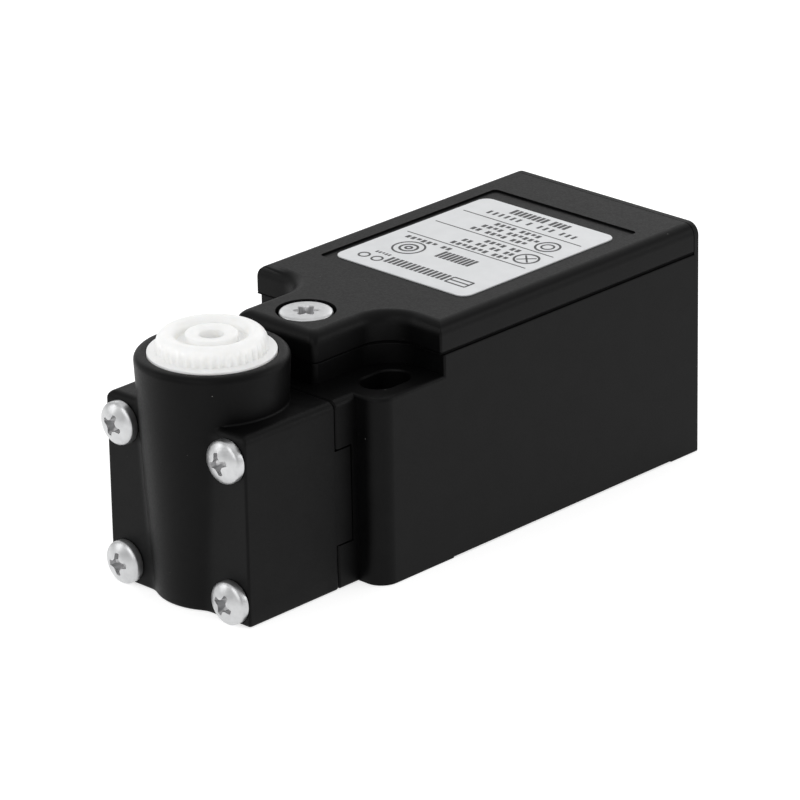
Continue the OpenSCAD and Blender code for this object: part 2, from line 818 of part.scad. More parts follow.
module clamp_plates() {
  color(steel) at_shoulder() both_pairs() both_sides() difference() {
    translate([terminal_x - clamp_w / 2, terminal_y - clamp_w / 2, clamp_z[0]])
      cube([clamp_w, clamp_w, clamp_z[1] - clamp_z[0]]);
    translate([terminal_x, terminal_y, 0]) cylinder(r = terminal_r + fit, h = top_h);
  }
}

housing();
cover();
cover_gasket();
cover_screw();
cover_screw_ring();
cover_screw_insert();
label();
head_housing();
head_screws();
head_gasket();
spindle();
cam();
spindle_clip();
spindle_seal();
thrust_washer();
head_plunger();
plunger_spring();
plunger_bushing();
plunger_seal();
contact_base();
contact_lid();
contact_carriage();
carriage_spring();
bridge_front();
bridge_rear();
contact_spring_front();
contact_spring_rear();
fixed_contact_13();
fixed_contact_14();
fixed_contact_23();
fixed_contact_24();
terminal_screws();
clamp_plates();
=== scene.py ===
import json
import math

import bmesh
import bpy
from mathutils import Matrix, Vector


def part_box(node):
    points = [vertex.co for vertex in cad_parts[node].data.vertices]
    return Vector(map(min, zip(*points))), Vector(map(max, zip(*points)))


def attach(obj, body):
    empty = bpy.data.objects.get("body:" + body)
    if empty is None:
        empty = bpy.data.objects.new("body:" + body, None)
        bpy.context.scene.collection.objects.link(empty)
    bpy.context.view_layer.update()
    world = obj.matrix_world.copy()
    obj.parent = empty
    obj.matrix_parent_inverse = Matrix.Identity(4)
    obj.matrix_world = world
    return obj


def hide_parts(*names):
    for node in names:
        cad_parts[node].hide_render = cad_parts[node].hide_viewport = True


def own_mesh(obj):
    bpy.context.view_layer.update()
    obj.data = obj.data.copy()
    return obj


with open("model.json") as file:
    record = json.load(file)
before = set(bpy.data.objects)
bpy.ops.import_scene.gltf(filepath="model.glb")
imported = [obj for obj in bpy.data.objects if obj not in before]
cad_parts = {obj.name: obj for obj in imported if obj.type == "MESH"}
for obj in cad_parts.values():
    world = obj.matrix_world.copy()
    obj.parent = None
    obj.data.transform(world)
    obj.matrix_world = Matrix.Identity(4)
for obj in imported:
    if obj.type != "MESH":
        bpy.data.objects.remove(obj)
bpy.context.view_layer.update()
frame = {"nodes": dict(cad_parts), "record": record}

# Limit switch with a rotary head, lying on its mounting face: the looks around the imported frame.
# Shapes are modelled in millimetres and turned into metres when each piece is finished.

MM = 0.001
RECORD = frame["record"]
SLOTS = {s["node"]: s["material_slot"] for s in RECORD["subparts"]}
BODIES = {n: body for body, nodes in RECORD["behaviour"]["bodies"].items() for n in nodes}


def box_mm(node):
    """Lowest and highest corner of a CAD node, in millimetres."""
    lo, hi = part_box(node)
    return lo / MM, hi / MM


# ---------------------------------------------------------------- sizes, from the frame

cover_lo, cover_hi = box_mm("cover")
housing_hi = box_mm("housing")[1]
head_lo, head_hi = box_mm("head_housing")
spindle_hi = box_mm("spindle")[1]
gasket_hi = box_mm("cover_gasket")[1]
screw_lo, screw_hi = box_mm("cover_screw")
label_lo, label_hi = box_mm("label")

SKIN = 0.012  # how far a rounded shell stays inside its CAD solid
OVER = 1.0  # how far a cutting or joining solid runs past a face

# Housing and cover
HALF_W = cover_hi.x
TOP = cover_hi.z
NOSE_FRONT = cover_lo.y
SHOULDER = NOSE_FRONT + 1.7  # plane of the shoulders
SHOULDER_H = 23.2
BODY_END = housing_hi.y
LIP_Y = BODY_END - 0.95
COVER_END = LIP_Y - 0.1
COVER_Z = gasket_hi.z - 0.6  # underside of the cover
PARTING = COVER_Z - 0.2
NOSE_HALF = 6.5
NOTCH_Y = SHOULDER + 6.3
NOTCH_R = 4.0
NOTCH_BACK = NOTCH_Y + NOTCH_R
LEDGE = 0.6  # how far the wall under the cover stands back
SHOULDER_R = 2.4
CORNER_R = 0.3  # plan radius beside the notches and at the conduit end
NOSE_R = 0.8
COVER_FILLET = 1.5
EDGE = 0.45  # rounding of the shoulders' edges
FOOT_EDGE = 0.12  # rounding of the mounting face's edges
SEAM_EDGE = 0.2  # rounding along the seams
SEAM_OPEN = 0.05  # how much wider a seam looks on each side
LIP_EDGE = 0.3
LIP_DEPTH = 3.0  # how far the lip's solid reaches below the parting line
RECESS_EDGE = 0.12  # rounding of the cover screw's recess
POCKET_EDGE = 0.15  # rounding of the label recess's rim
SLOT = (10.5, SHOULDER + 5.7)  # centre of the right mounting slot
SLOT_HALF_W = 2.15
SLOT_LEN = 6.5
SLOT_EDGE = 0.3  # rounding of its mouth
SLOT_CUT = 3.0  # depth to which the mouth's cutter goes
CUT_GROW = 0.01  # how much wider a cutter is than the hole it opens
CONDUIT_H = 13.9
CONDUIT_R = 9.19
THREAD_PITCH = 1.5
THREAD_DEPTH = 0.75
THREAD_STEPS = 96  # round the thread, and rings along one pitch
THREAD_RINGS = 6
THREAD_FLANK = 1.35  # steepness of the flanks, above 1 for flat crests
THREAD_RUN = 0.6  # how far the thread's cutter runs past the wall
END_WALL = 9.0

# Head
HEAD_HALF = 11.3
HEAD_BACK = SHOULDER - 3.2
HEAD_FRONT = HEAD_BACK - 14.5
HEAD_EDGE = 1.0  # rounding of the head's and the neck's long edges
HEAD_FOOT_EDGE = 0.35
HEAD_CORNER = 0.28  # plan radius of its vertical edges
HEAD_GAP = 0.14  # open seam between the head and the neck
LUG = (1.5, 2.2, 5.6, 17.2)  # thickness, length past the head, lower and upper end
AXIS_Y = SHOULDER - 11.5
BARREL_TOP = head_hi.z
BARREL_R = AXIS_Y - head_lo.y
BARREL_FOOT_R = 7.5
BARREL_FILLET = 0.5  # between the barrel and the head's front
SHELF_FILLET = 0.25  # between the barrel and the head's top
NECK_CLEAR = 0.3  # height over the shoulders from which the barrel overhangs the neck
RIM_R = 0.8
RIM_INNER_R = 7.55
RECESS_Z = 27.9
BEARING_R = 4.05
CHAMBER_Z = (7.0, 16.0)
CHAMBER_R = 5.6
CHAMBER_HALF = 7.4
FOOT_BORE = (2.55, 1.8)  # radius and floor of the spindle's lower bearing
GASKET_SEAT = (8.6, 0.7, 5.2, 17.8)  # half width, depth, lower and upper end
SCREW_HOLE_R = 1.6
PAN_CLEAR = 0.15  # round the pan heads
SEAM_INSET = 0.2  # most that the head's back steps in along its edges
HEAD_ROWS = 12  # rings up the head's plain side
RIM_INNER_EDGE = 0.12
BEARING_EDGE = 0.2
TURN_IN = 0.2  # sine of the direction in which the barrel's front fillet ends
SCREW_PITCH = 17.3
PAN_R = 2.6
PAN_T = 1.9
PAN_RIM = 0.95  # height of the pan head's straight side
HEAD_SCREW_LEN = 18.9
HEAD_Z = 11.3  # middle of the head screws' pattern and the plunger's height


# ---------------------------------------------------------------- mesh helpers

def mesh_from(bm, name):
    mesh = bpy.data.meshes.new(name)
    bm.to_mesh(mesh)
    bm.free()
    return mesh


def temp(bm):
    """A scratch object in millimetres."""
    obj = bpy.data.objects.new("scratch", mesh_from(bm, "scratch"))
    bpy.context.collection.objects.link(obj)
    return obj


def discard(obj):
    mesh = obj.data
    bpy.data.objects.remove(obj)
    if mesh.users == 0:
        bpy.data.meshes.remove(mesh)


def cad_copy(node):
    """The CAD node's mesh in millimetres, welded."""
    bm = bmesh.new()
    bm.from_mesh(frame["nodes"][node].data)
    bmesh.ops.scale(bm, vec=(1 / MM,) * 3, verts=bm.verts)
    bmesh.ops.remove_doubles(bm, verts=bm.verts, dist=2e-4)
    return temp(bm)


def loft(rings):
    """A closed solid through rings of points that have the same number of points."""
    bm = bmesh.new()
    rows = [[bm.verts.new(p) for p in ring] for ring in rings]
    for lower, upper in zip(rows, rows[1:]):
        for i in range(len(lower)):
            j = (i + 1) % len(lower)
            bm.faces.new((lower[i], lower[j], upper[j], upper[i]))
    bm.faces.new(rows[0][::-1])
    bm.faces.new(rows[-1])
    bmesh.ops.remove_doubles(bm, verts=bm.verts, dist=1e-5)
    bmesh.ops.dissolve_degenerate(bm, edges=bm.edges, dist=1e-5)
    bmesh.ops.recalc_face_normals(bm, faces=bm.faces)
    return temp(bm)


def lathe(profile, centre=(0, 0, 0), steps=96):
    """A solid of revolution about Z. The profile runs from the axis below to the axis above."""
    bm = bmesh.new()
    rows = []
    for r, z in profile:
        if r < 1e-6:
            rows.append([bm.verts.new((0, 0, z))])
            continue
        turn = [2 * math.pi * k / steps for k in range(steps)]
        rows.append([bm.verts.new((r * math.cos(a), r * math.sin(a), z)) for a in turn])
    for lower, upper in zip(rows, rows[1:]):
        for i in range(steps):
            j = (i + 1) % steps
            if len(lower) == 1:
                bm.faces.new((lower[0], upper[j], upper[i]))
            elif len(upper) == 1:
                bm.faces.new((lower[i], lower[j], upper[0]))
            else:
                bm.faces.new((lower[i], lower[j], upper[j], upper[i]))
    bmesh.ops.recalc_face_normals(bm, faces=bm.faces)
    bmesh.ops.translate(bm, vec=centre, verts=bm.verts)
    return temp(bm)


def block(x0, x1, y0, y1, z0, z1):
    return loft([[(x0, y0, z), (x1, y0, z), (x1, y1, z), (x0, y1, z)] for z in (z0, z1)])


def boolean(target, other, operation):
    """Combines two scratch solids into the first and throws the second away."""
    modifier = target.modifiers.new("cut", "BOOLEAN")
    modifier.operation = operation
    modifier.object = other
    modifier.solver = "EXACT"
    depsgraph = bpy.context.evaluated_depsgraph_get()
    mesh = bpy.data.meshes.new_from_object(target.evaluated_get(depsgraph))
    target.modifiers.clear()
    target.data = mesh
    discard(other)
    return target


def bevel(obj, width, chosen, segments):
    """Rounds the edges that chosen(edge) picks."""
    bm = bmesh.new()
    bm.from_mesh(obj.data)
    edges = [e for e in bm.edges if len(e.link_faces) == 2 and chosen(e)]
    bmesh.ops.bevel(bm, geom=edges, offset=width, offset_type="OFFSET", segments=segments, profile=0.5,
                    affect="EDGES", clamp_overlap=True)
    bm.to_mesh(obj.data)
    bm.free()
    return obj


def sharp(edge, degrees):
    return edge.calc_face_angle(0) > math.radians(degrees)


def tidy(obj, dist=2e-3):
    """Welds what a boolean left apart and closes any gap in the mesh."""
    bm = bmesh.new()
    bm.from_mesh(obj.data)
    bmesh.ops.remove_doubles(bm, verts=bm.verts, dist=dist)
    bmesh.ops.dissolve_degenerate(bm, edges=bm.edges, dist=dist / 2)
    bmesh.ops.holes_fill(bm, edges=[e for e in bm.edges if e.is_boundary])
    bmesh.ops.recalc_face_normals(bm, faces=bm.faces)
    bm.to_mesh(obj.data)
    bm.free()
    return obj


def smooth(obj, degrees=32):
    """Smooth shading up to an angle, with normals weighted by face size."""
    bm = bmesh.new()
    bm.from_mesh(obj.data)
    for face in bm.faces:
        face.smooth = True
    for edge in bm.edges:
        edge.smooth = edge.calc_face_angle(0) < math.radians(degrees)
    bm.to_mesh(obj.data)
    bm.free()
    modifier = obj.modifiers.new("normals", "WEIGHTED_NORMAL")
    modifier.keep_sharp = True
    modifier.weight = 80


def finish(obj, name, body, material, replaced):
    """Turns a scratch solid in millimetres into a piece of the object in metres."""
    obj.data.transform(Matrix.Scale(MM, 4))
    obj.name = name
    obj.data.name = name
    obj.data.materials.clear()
    obj.data.materials.append(material)
    smooth(obj)
    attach(obj, body)
    for node in replaced:
        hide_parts(node)


# ---------------------------------------------------------------- materials

NOISE_SPAN = (0.3, 0.7)  # the values that noise mostly takes
ROUGHNESS_SWING = 0.04  # how far a surface's roughness drifts to each side


def new_material(name):
    material = bpy.data.materials.new(name)
    material.use_nodes = True
    tree = material.node_tree
    shader = tree.nodes["Principled BSDF"]
    return material, tree, shader


def node(tree, kind, **inputs):
    made = tree.nodes.new(kind)
    for key, value in inputs.items():
        made.inputs[key].default_value = value
    return made


def mm_coordinates(tree):
    """Object coordinates in millimetres."""
    coordinates = tree.nodes.new("ShaderNodeTexCoord")
    mapping = node(tree, "ShaderNodeMapping", Scale=(1 / MM,) * 3)
    tree.links.new(coordinates.outputs["Object"], mapping.inputs["Vector"])
    return mapping.outputs["Vector"]


def noise(tree, vector, scale, detail=2.0, roughness=0.5):
    made = node(tree, "ShaderNodeTexNoise", Scale=scale, Detail=detail, Roughness=roughness)
    tree.links.new(vector, made.inputs["Vector"])
    return made.outputs["Fac"]


def map_range(tree, value, from_min, from_max, to_min, to_max):
    made = tree.nodes.new("ShaderNodeMapRange")
    span = {"From Min": from_min, "From Max": from_max, "To Min": to_min, "To Max": to_max}
    for key, number in span.items():
        made.inputs[key].default_value = number
    tree.links.new(value, made.inputs["Value"])
    return made.outputs["Result"]


def bump(tree, shader, height, strength, distance):
    made = node(tree, "ShaderNodeBump", Strength=strength, Distance=distance)
    tree.links.new(height, made.inputs["Height"])
    tree.links.new(made.outputs["Normal"], shader.inputs["Normal"])


def mix_colour(tree, factor, first, second):
    made = tree.nodes.new("ShaderNodeMix")
    made.data_type = "RGBA"
    made.inputs["A"].default_value = (*first, 1)
    made.inputs["B"].default_value = (*second, 1)
    tree.links.new(factor, made.inputs["Factor"])
    return made.outputs["Result"]


def cloudy_colour(tree, shader, vector, scale, detail, dark, light):
    """A base colour that drifts between two tones. The scale is in clouds to the millimetre."""
    cloud = map_range(tree, noise(tree, vector, scale, detail), *NOISE_SPAN, 0, 1)
    tree.links.new(mix_colour(tree, cloud, dark, light), shader.inputs["Base Color"])


def varied_roughness(tree, shader, marks, low, high):
    tree.links.new(map_range(tree, marks, *NOISE_SPAN, low, high), shader.inputs["Roughness"])


def dust(tree, vector, base, cell, size, share, colour, amount):
    """Sparse specks: one in a share of the cells, smaller than size millimetres."""
    cells = node(tree, "ShaderNodeTexVoronoi", Scale=1 / cell)
    tree.links.new(vector, cells.inputs["Vector"])
    near = map_range(tree, cells.outputs["Distance"], size / cell * 0.6, size / cell, 1, 0)
    split = tree.nodes.new("ShaderNodeSeparateColor")
    tree.links.new(cells.outputs["Color"], split.inputs["Color"])
    chosen = map_range(tree, split.outputs["Red"], 1 - share - 0.01, 1 - share, 0, amount)
    product = tree.nodes.new("ShaderNodeMath")
    product.operation = "MULTIPLY"
    tree.links.new(near, product.inputs[0])
    tree.links.new(chosen, product.inputs[1])
    made = tree.nodes.new("ShaderNodeMix")
    made.data_type = "RGBA"
    made.inputs["B"].default_value = (*colour, 1)
    tree.links.new(product.outputs["Value"], made.inputs["Factor"])
    tree.links.new(base, made.inputs["A"])
    return made.outputs["Result"]


def textured_plastic(name, dark, light, roughness, specular, grain, dusty):
    """Moulded plastic with a spark-eroded grain, faint cloudiness and, where dusty, a few specks."""
    material, tree, shader = new_material(name)
    vector = mm_coordinates(tree)
    cloud = noise(tree, vector, 0.35, 3.0)
    fine = noise(tree, vector, 9.0, 3.0, 0.6)
    coarse = noise(tree, vector, 3.6, 2.0)
    base = mix_colour(tree, map_range(tree, cloud, 0.35, 0.65, 0, 1), dark, light)
    if dusty:
        base = dust(tree, vector, base, 1.6, 0.07, 0.12, (0.30, 0.30, 0.29), 0.5)
        base = dust(tree, vector, base, 0.9, 0.045, 0.06, (0.20, 0.20, 0.19), 0.4)
    tree.links.new(base, shader.inputs["Base Color"])
    varied_roughness(tree, shader, coarse, roughness - ROUGHNESS_SWING, roughness + ROUGHNESS_SWING)
    shader.inputs["Specular IOR Level"].default_value = specular
    bump(tree, shader, fine, grain, 0.012 * MM)
    return material


def nylon(name):
    material, tree, shader = new_material(name)
    vector = mm_coordinates(tree)
    shader.inputs["Subsurface Weight"].default_value = 0.6
    shader.inputs["Subsurface Radius"].default_value = (1.0, 0.97, 0.92)
    shader.inputs["Subsurface Scale"].default_value = 1.6 * MM
    shader.inputs["Coat Weight"].default_value = 0.12
    shader.inputs["Coat Roughness"].default_value = 0.3
    cloudy_colour(tree, shader, vector, 0.7, 2.0, (0.90, 0.90, 0.885), (0.94, 0.94, 0.93))
    varied_roughness(tree, shader, noise(tree, vector, 4.0), 0.34, 0.44)
    bump(tree, shader, noise(tree, vector, 7.0), 0.25, 0.008 * MM)
    return material


def metal(name, dark, light, roughness):
    """Plated or bare metal with a little unevenness and faint marks."""
    material, tree, shader = new_material(name)
    vector = mm_coordinates(tree)
    shader.inputs["Metallic"].default_value = 1.0
    cloudy_colour(tree, shader, vector, 1.4, 3.0, dark, light)
    marks = noise(tree, vector, 2.4, 2.0)
    varied_roughness(tree, shader, marks, roughness - ROUGHNESS_SWING, roughness + ROUGHNESS_SWING)
    bump(tree, shader, marks, 0.2, 0.0015 * MM)
    return material


def rubber(name):
    material, tree, shader = new_material(name)
    vector = mm_coordinates(tree)
    cloudy_colour(tree, shader, vector, 1.0, 2.0, (0.012, 0.012, 0.013), (0.02, 0.02, 0.021))
    shader.inputs["Roughness"].default_value = 0.75
    bump(tree, shader, noise(tree, vector, 6.0), 0.4, 0.01 * MM)
    return material


def film(name):
    """Satin silver label film with a very fine grain."""
    material, tree, shader = new_material(name)
    vector = mm_coordinates(tree)
    fine = noise(tree, vector, 11.0, 2.0)
    shader.inputs["Metallic"].default_value = 0.3
    cloudy_colour(tree, shader, vector, 0.5, 2.0, (0.66, 0.67, 0.68), (0.70, 0.71, 0.72))
    varied_roughness(tree, shader, fine, 0.40, 0.46)
    bump(tree, shader, fine, 0.1, 0.002 * MM)
    return material


def ink(name):
    material, tree, shader = new_material(name)
    vector = mm_coordinates(tree)
    cloudy_colour(tree, shader, vector, 3.0, 2.0, (0.02, 0.02, 0.022), (0.045, 0.045, 0.048))
    shader.inputs["Roughness"].default_value = 0.5
    return material


MATERIALS = {
    "black_plastic": textured_plastic("black_plastic", (0.0009, 0.0009, 0.0010), (0.0016, 0.0016, 0.0017),
                                      0.46, 0.11, 0.5, True),
    "white_nylon": nylon("white_nylon"),
    "zinc_steel": metal("zinc_steel", (0.53, 0.535, 0.54), (0.60, 0.605, 0.61), 0.37),
    "brass": metal("brass", (0.70, 0.52, 0.24), (0.80, 0.62, 0.33), 0.3),
    "copper_alloy": metal("copper_alloy", (0.72, 0.42, 0.27), (0.82, 0.50, 0.34), 0.28),
    "spring_steel": metal("spring_steel", (0.45, 0.46, 0.47), (0.56, 0.57, 0.58), 0.24),
    "seal_rubber": rubber("seal_rubber"),
    "label_film": film("label_film"),
    "cream_plastic": textured_plastic("cream_plastic", (0.62, 0.56, 0.42), (0.68, 0.62, 0.48),
                                      0.42, 0.5, 0.3, False),
    "green_thermoset": textured_plastic("green_thermoset", (0.02, 0.085, 0.06), (0.03, 0.105, 0.075),
                                        0.4, 0.5, 0.3, False),
}
INK = ink("label_ink")
# painted shading: the drive recesses' own metal tone, standing in for the shade and reflections inside them
RECESS_SHADING_METAL = metal("painted_recess_shading", (0.56, 0.56, 0.565), (0.66, 0.66, 0.665), 0.42)


def material_of(cad_node):
    return MATERIALS[SLOTS[cad_node]]


# ---------------------------------------------------------------- camera, light and floor

AZIMUTH, ELEVATION, ROLL = math.radians(44.27), math.radians(22.10), math.radians(-1.07)
DISTANCE = 0.60215
FOCAL = 232.0  # millimetres on a 36 mm sensor
AIM = Vector((0.004734, -0.003515, 0.016523))

WORLD = 0.60
FLOOR_GLOW = 0.66
FLOOR_HALF = 3.0
FLOOR_GAP = 0.00005  # metres below the underside, so that the two faces do not coincide
LIGHTS = [  # name, place, target, size, power; metres and watts
    ("overhead", (0.0, 0.15, 0.75), (0, 0, 0), (0.8, 0.8), 0.8),
    ("left", (-0.45, -0.40, 0.28), (0, -0.02, 0.015), (0.30, 0.35), 0.55),
    ("back", (-0.30, 0.75, 0.40), (0, 0.02, 0.02), (0.6, 0.3), 0.82),
    ("front", (0.45, -0.75, 0.45), (0, -0.02, 0.015), (0.4, 0.4), 0.75),
    ("right_back", (0.65, 0.66, 0.37), (0, 0, 0.02), (0.5, 0.3), 1.3),
    ("front_high", (0.10, -0.70, 0.75), (0, 0, 0.015), (0.4, 0.4), 1.1),
    ("left_back", (-0.75, 0.35, 0.40), (0, 0, 0.02), (0.5, 0.3), 0.55),
]


def make_camera():
    back = Vector((math.sin(AZIMUTH) * math.cos(ELEVATION), -math.cos(AZIMUTH) * math.cos(ELEVATION),
                   math.sin(ELEVATION)))
    right = Vector((math.cos(AZIMUTH), math.sin(AZIMUTH), 0))
    up = back.cross(right)
    turn = Matrix.Rotation(ROLL, 3, back)
    axes = Matrix((turn @ right, turn @ up, back)).transposed()
    data = bpy.data.cameras.new("camera")
    data.lens = FOCAL
    data.clip_start, data.clip_end = 0.01, 10
    camera = bpy.data.objects.new("camera", data)
    camera.matrix_world = Matrix.Translation(AIM + back * DISTANCE) @ axes.to_4x4()
    bpy.context.collection.objects.link(camera)
    bpy.context.scene.camera = camera


def area_light(name, place, target, size, power):
    data = bpy.data.lights.new(name, "AREA")
    data.shape = "RECTANGLE"
    data.size, data.size_y = size
    data.energy = power
    light = bpy.data.objects.new(name, data)
    light.location = place
    light.rotation_euler = (Vector(target) - Vector(place)).to_track_quat("-Z", "Y").to_euler()
    bpy.context.collection.objects.link(light)


def make_floor():
    bm = bmesh.new()
    bmesh.ops.create_grid(bm, x_segments=8, y_segments=8, size=FLOOR_HALF)
    bmesh.ops.translate(bm, verts=bm.verts, vec=(0, 0, -FLOOR_GAP))
    floor = bpy.data.objects.new("floor", mesh_from(bm, "floor"))
    bpy.context.collection.objects.link(floor)
    material, tree, shader = new_material("floor")
    cloudy_colour(tree, shader, mm_coordinates(tree), 0.01, 2.0, (0.60, 0.60, 0.60), (0.62, 0.62, 0.62))
    shader.inputs["Roughness"].default_value = 0.9
    shader.inputs["Specular IOR Level"].default_value = 0.1
    shader.inputs["Emission Color"].default_value = (1, 1, 1, 1)
    shader.inputs["Emission Strength"].default_value = FLOOR_GLOW
    floor.data.materials.append(material)


def make_studio():
    world = bpy.data.worlds.new("studio")
    bpy.context.scene.world = world
    world.use_nodes = True
    background = world.node_tree.nodes["Background"]
    background.inputs["Color"].default_value = (1, 1, 1, 1)
    background.inputs["Strength"].default_value = WORLD
    make_floor()
    for row in LIGHTS:
        area_light(*row)
    bpy.context.scene.view_settings.view_transform = "Standard"


# ---------------------------------------------------------------- outlines

def arc(cx, cy, r, start, end, steps):
    """Points along an arc, angles in degrees."""
    angles = [math.radians(start + (end - start) * k / steps) for k in range(steps + 1)]
    return [(cx + r * math.cos(a), cy + r * math.sin(a)) for a in angles]


def mirrored(half):
    return half + [(-x, y) for x, y in reversed(half)]


def at_height(points, z):
    return [(x, y, z) for x, y in points]


def fillet(radius, top, steps=6):
    """(inset, height) pairs up a quarter round edge that ends at the height top."""
    angles = [math.pi / 2 * k / steps for k in range(steps + 1)]
    return [(radius * (1 - math.cos(a)), top - radius + radius * math.sin(a)) for a in angles]


def foot_fillet(radius, bottom, steps=4):
    """(inset, height) pairs up a quarter round edge that starts at the height bottom."""
    return [(i, 2 * bottom - z) for i, z in reversed(fillet(radius, bottom, steps))]


# ---------------------------------------------------------------- housing and cover

def nose_outline(inset, side, y_end, rear_r=0.0):
    """Plan outline of the cover, and with an inset of the wall under it."""
    half_w = HALF_W - side
    back = NOTCH_BACK + inset
    nose = NOSE_HALF - inset
    front = NOSE_FRONT + inset
    side_r = max(CORNER_R - side, 0)
    nose_r = max(NOSE_R - max(inset - side, 0), 0)
    half = arc(half_w - rear_r, y_end - rear_r, rear_r, 90, 0, 6)
    half += arc(half_w - side_r, back + side_r, side_r, 0, -90, 8)
    half += arc(NOSE_HALF + NOTCH_R, NOTCH_Y, NOTCH_R + inset, 90, 180, 24)
    half += arc(nose - nose_r, front + nose_r, nose_r, 0, -90, 8)
    return mirrored(half)


def block_outline(inset, front_r, rear_r):
    """Plan outline of the housing's lower block."""
    half_w = HALF_W - inset
    front, rear = SHOULDER + inset, BODY_END - SKIN
    front_r = max(front_r - inset, 0.02)
    half = arc(half_w - rear_r, rear - rear_r, rear_r, 90, 0, 8)
    half += arc(half_w - front_r, front + front_r, front_r, 0, -90, 12)
    return mirrored(half)


def slot_outline(x, y, half_w, length):
    reach = length / 2 - half_w
    return arc(x, y + reach, half_w, 0, 180, 24) + arc(x, y - reach, half_w, 180, 360, 24)


def lip_block():
    """The lip behind the cover. Seen from the end, it has the cover's rounded shoulders."""
    rings = []
    for inset, y in [(0, LIP_Y - 0.01)] + fillet(LIP_EDGE, BODY_END - SKIN, 5):
        half, top = HALF_W - SKIN - inset, TOP - SKIN - inset
        section = arc(half - COVER_FILLET, top - COVER_FILLET, COVER_FILLET, 90, 0, 10)
        section.append((half, PARTING - LIP_DEPTH))
        rings.append([(x, y, z) for x, z in mirrored(section)])
    return loft(rings)


def neck_block():
    """The neck, a rounded rectangle swept along Y."""
    rings = []
    for inset, y in ((SEAM_EDGE, HEAD_BACK + SKIN), (0, HEAD_BACK + SEAM_EDGE), (0, SHOULDER + OVER)):
        rings.append([(x, y, z) for x, z in head_section(inset)])
    return loft(rings)


def head_section(inset):
    """Cross-section of the head block and the neck, seen along Y."""
    half, top, foot = HEAD_HALF - SKIN - inset, SHOULDER_H - SKIN - inset, SKIN + inset
    points = arc(half - HEAD_EDGE, top - HEAD_EDGE, HEAD_EDGE, 90, 0, 10)
    points += arc(half - HEAD_FOOT_EDGE, foot + HEAD_FOOT_EDGE, HEAD_FOOT_EDGE, 0, -90, 6)
    return mirrored(points)


def housing_envelope():
    rows = foot_fillet(FOOT_EDGE, SKIN, 2) + fillet(EDGE, SHOULDER_H - SKIN)
    lower = loft([at_height(block_outline(SKIN + i, SHOULDER_R, CORNER_R), z) for i, z in rows])
    rows = [(0, EDGE)] + fillet(SEAM_EDGE, PARTING - SEAM_OPEN, 3)
    side = SKIN + 0.004                # a little inside the lower block, so that no faces coincide
    upper = loft([at_height(nose_outline(LEDGE + SKIN + i, side + i, BODY_END - 0.1, CORNER_R), z)
                  for i, z in rows])
    shell = boolean(lower, upper, "UNION")
    shell = boolean(shell, lip_block(), "UNION")
    return boolean(shell, neck_block(), "UNION")


def thread_cutter():
    """A solid screw thread that opens the conduit entry's wall to its roots."""
    y = BODY_END + THREAD_RUN
    rings = []
    while y > BODY_END - END_WALL - THREAD_RUN:
        ring = []
        for k in range(THREAD_STEPS):
            phase = (y / THREAD_PITCH + k / THREAD_STEPS) % 1.0
            tooth = min(abs(2 * phase - 1) * THREAD_FLANK, 1.0)
            r = CONDUIT_R + CUT_GROW + THREAD_DEPTH * tooth
            a = 2 * math.pi * k / THREAD_STEPS
            ring.append((r * math.cos(a), y, CONDUIT_H + r * math.sin(a)))
        rings.append(ring)
        y -= THREAD_PITCH / THREAD_RINGS
    return loft(rings)


def mouth_rows(radius, top, steps=5):
    """(growth, height) pairs up the rounded mouth of a hole, ending a little above the face."""
    return fillet(radius, top, steps) + [(radius, top + 0.3)]


def slot_cutter(sign):
    """Opens a mounting slot's mouth with a rounded edge."""
    rows = [(0, SHOULDER_H - SLOT_CUT)] + mouth_rows(SLOT_EDGE, SHOULDER_H)
    rings = []
    for grow, z in rows:
        grow += CUT_GROW
        outline = slot_outline(sign * SLOT[0], SLOT[1], SLOT_HALF_W + grow, SLOT_LEN + 2 * grow)
        rings.append(at_height(outline, z))
    return loft(rings)


def make_housing():
    shell = boolean(cad_copy("housing"), housing_envelope(), "INTERSECT")
    shell = boolean(shell, thread_cutter(), "DIFFERENCE")
    for sign in (1, -1):
        shell = boolean(shell, slot_cutter(sign), "DIFFERENCE")
    tidy(shell)
    finish(shell, "housing_shell", "switch_body", material_of("housing"), ["housing"])


def make_cover():
    rows = [(-OVER, cover_lo.z - OVER), (-OVER, COVER_Z + SEAM_OPEN)]
    rows += [(SKIN + i, z) for i, z in foot_fillet(SEAM_EDGE, COVER_Z + SEAM_OPEN, 3)]
    rows += [(SKIN + i, z) for i, z in fillet(COVER_FILLET, TOP - SKIN / 2, 8)]
    rings = []
    for inset, z in rows:
        ring = nose_outline(inset, inset, COVER_END + (OVER if inset < 0 else 0))
        rings.append(at_height(ring, z))
    shell = tidy(boolean(cad_copy("cover"), loft(rings), "INTERSECT"))
    shell = bevel(shell, RECESS_EDGE, lambda edge: on_cover_top(edge) and not on_pocket(edge), 2)
    shell = bevel(shell, POCKET_EDGE, lambda edge: on_cover_top(edge) and on_pocket(edge), 3)
    finish(shell, "cover_shell", "cover_body", material_of("cover"), ["cover"])


def on_cover_top(edge):
    """True for the rims of the label's recess and of the screw's recess."""
    high = all(v.co.z > TOP - 0.03 for v in edge.verts)
    return high and sharp(edge, 60) and all(v.co.y < COVER_END - 0.1 for v in edge.verts)


def on_pocket(edge):
    """True for an edge near the label."""
    return all(v.co.y > label_lo.y - 2.5 for v in edge.verts)


# ---------------------------------------------------------------- rotary head

def rectangle_reach(c, s, half, front, back, radius):
    """Distance from the spindle's axis to the head block's outline in the direction (c, s)."""
    deep = back if s > 0 else front
    reach = min(half / abs(c) if c else math.inf, deep / abs(s) if s else math.inf)
    cx, cy = half - radius, deep - radius
    x, y = reach * abs(c), reach * abs(s)
    if x <= cx or y <= cy:
        return reach
    along = abs(c) * cx + abs(s) * cy
    return along + math.sqrt(max(along * along - cx * cx - cy * cy + radius * radius, 0))


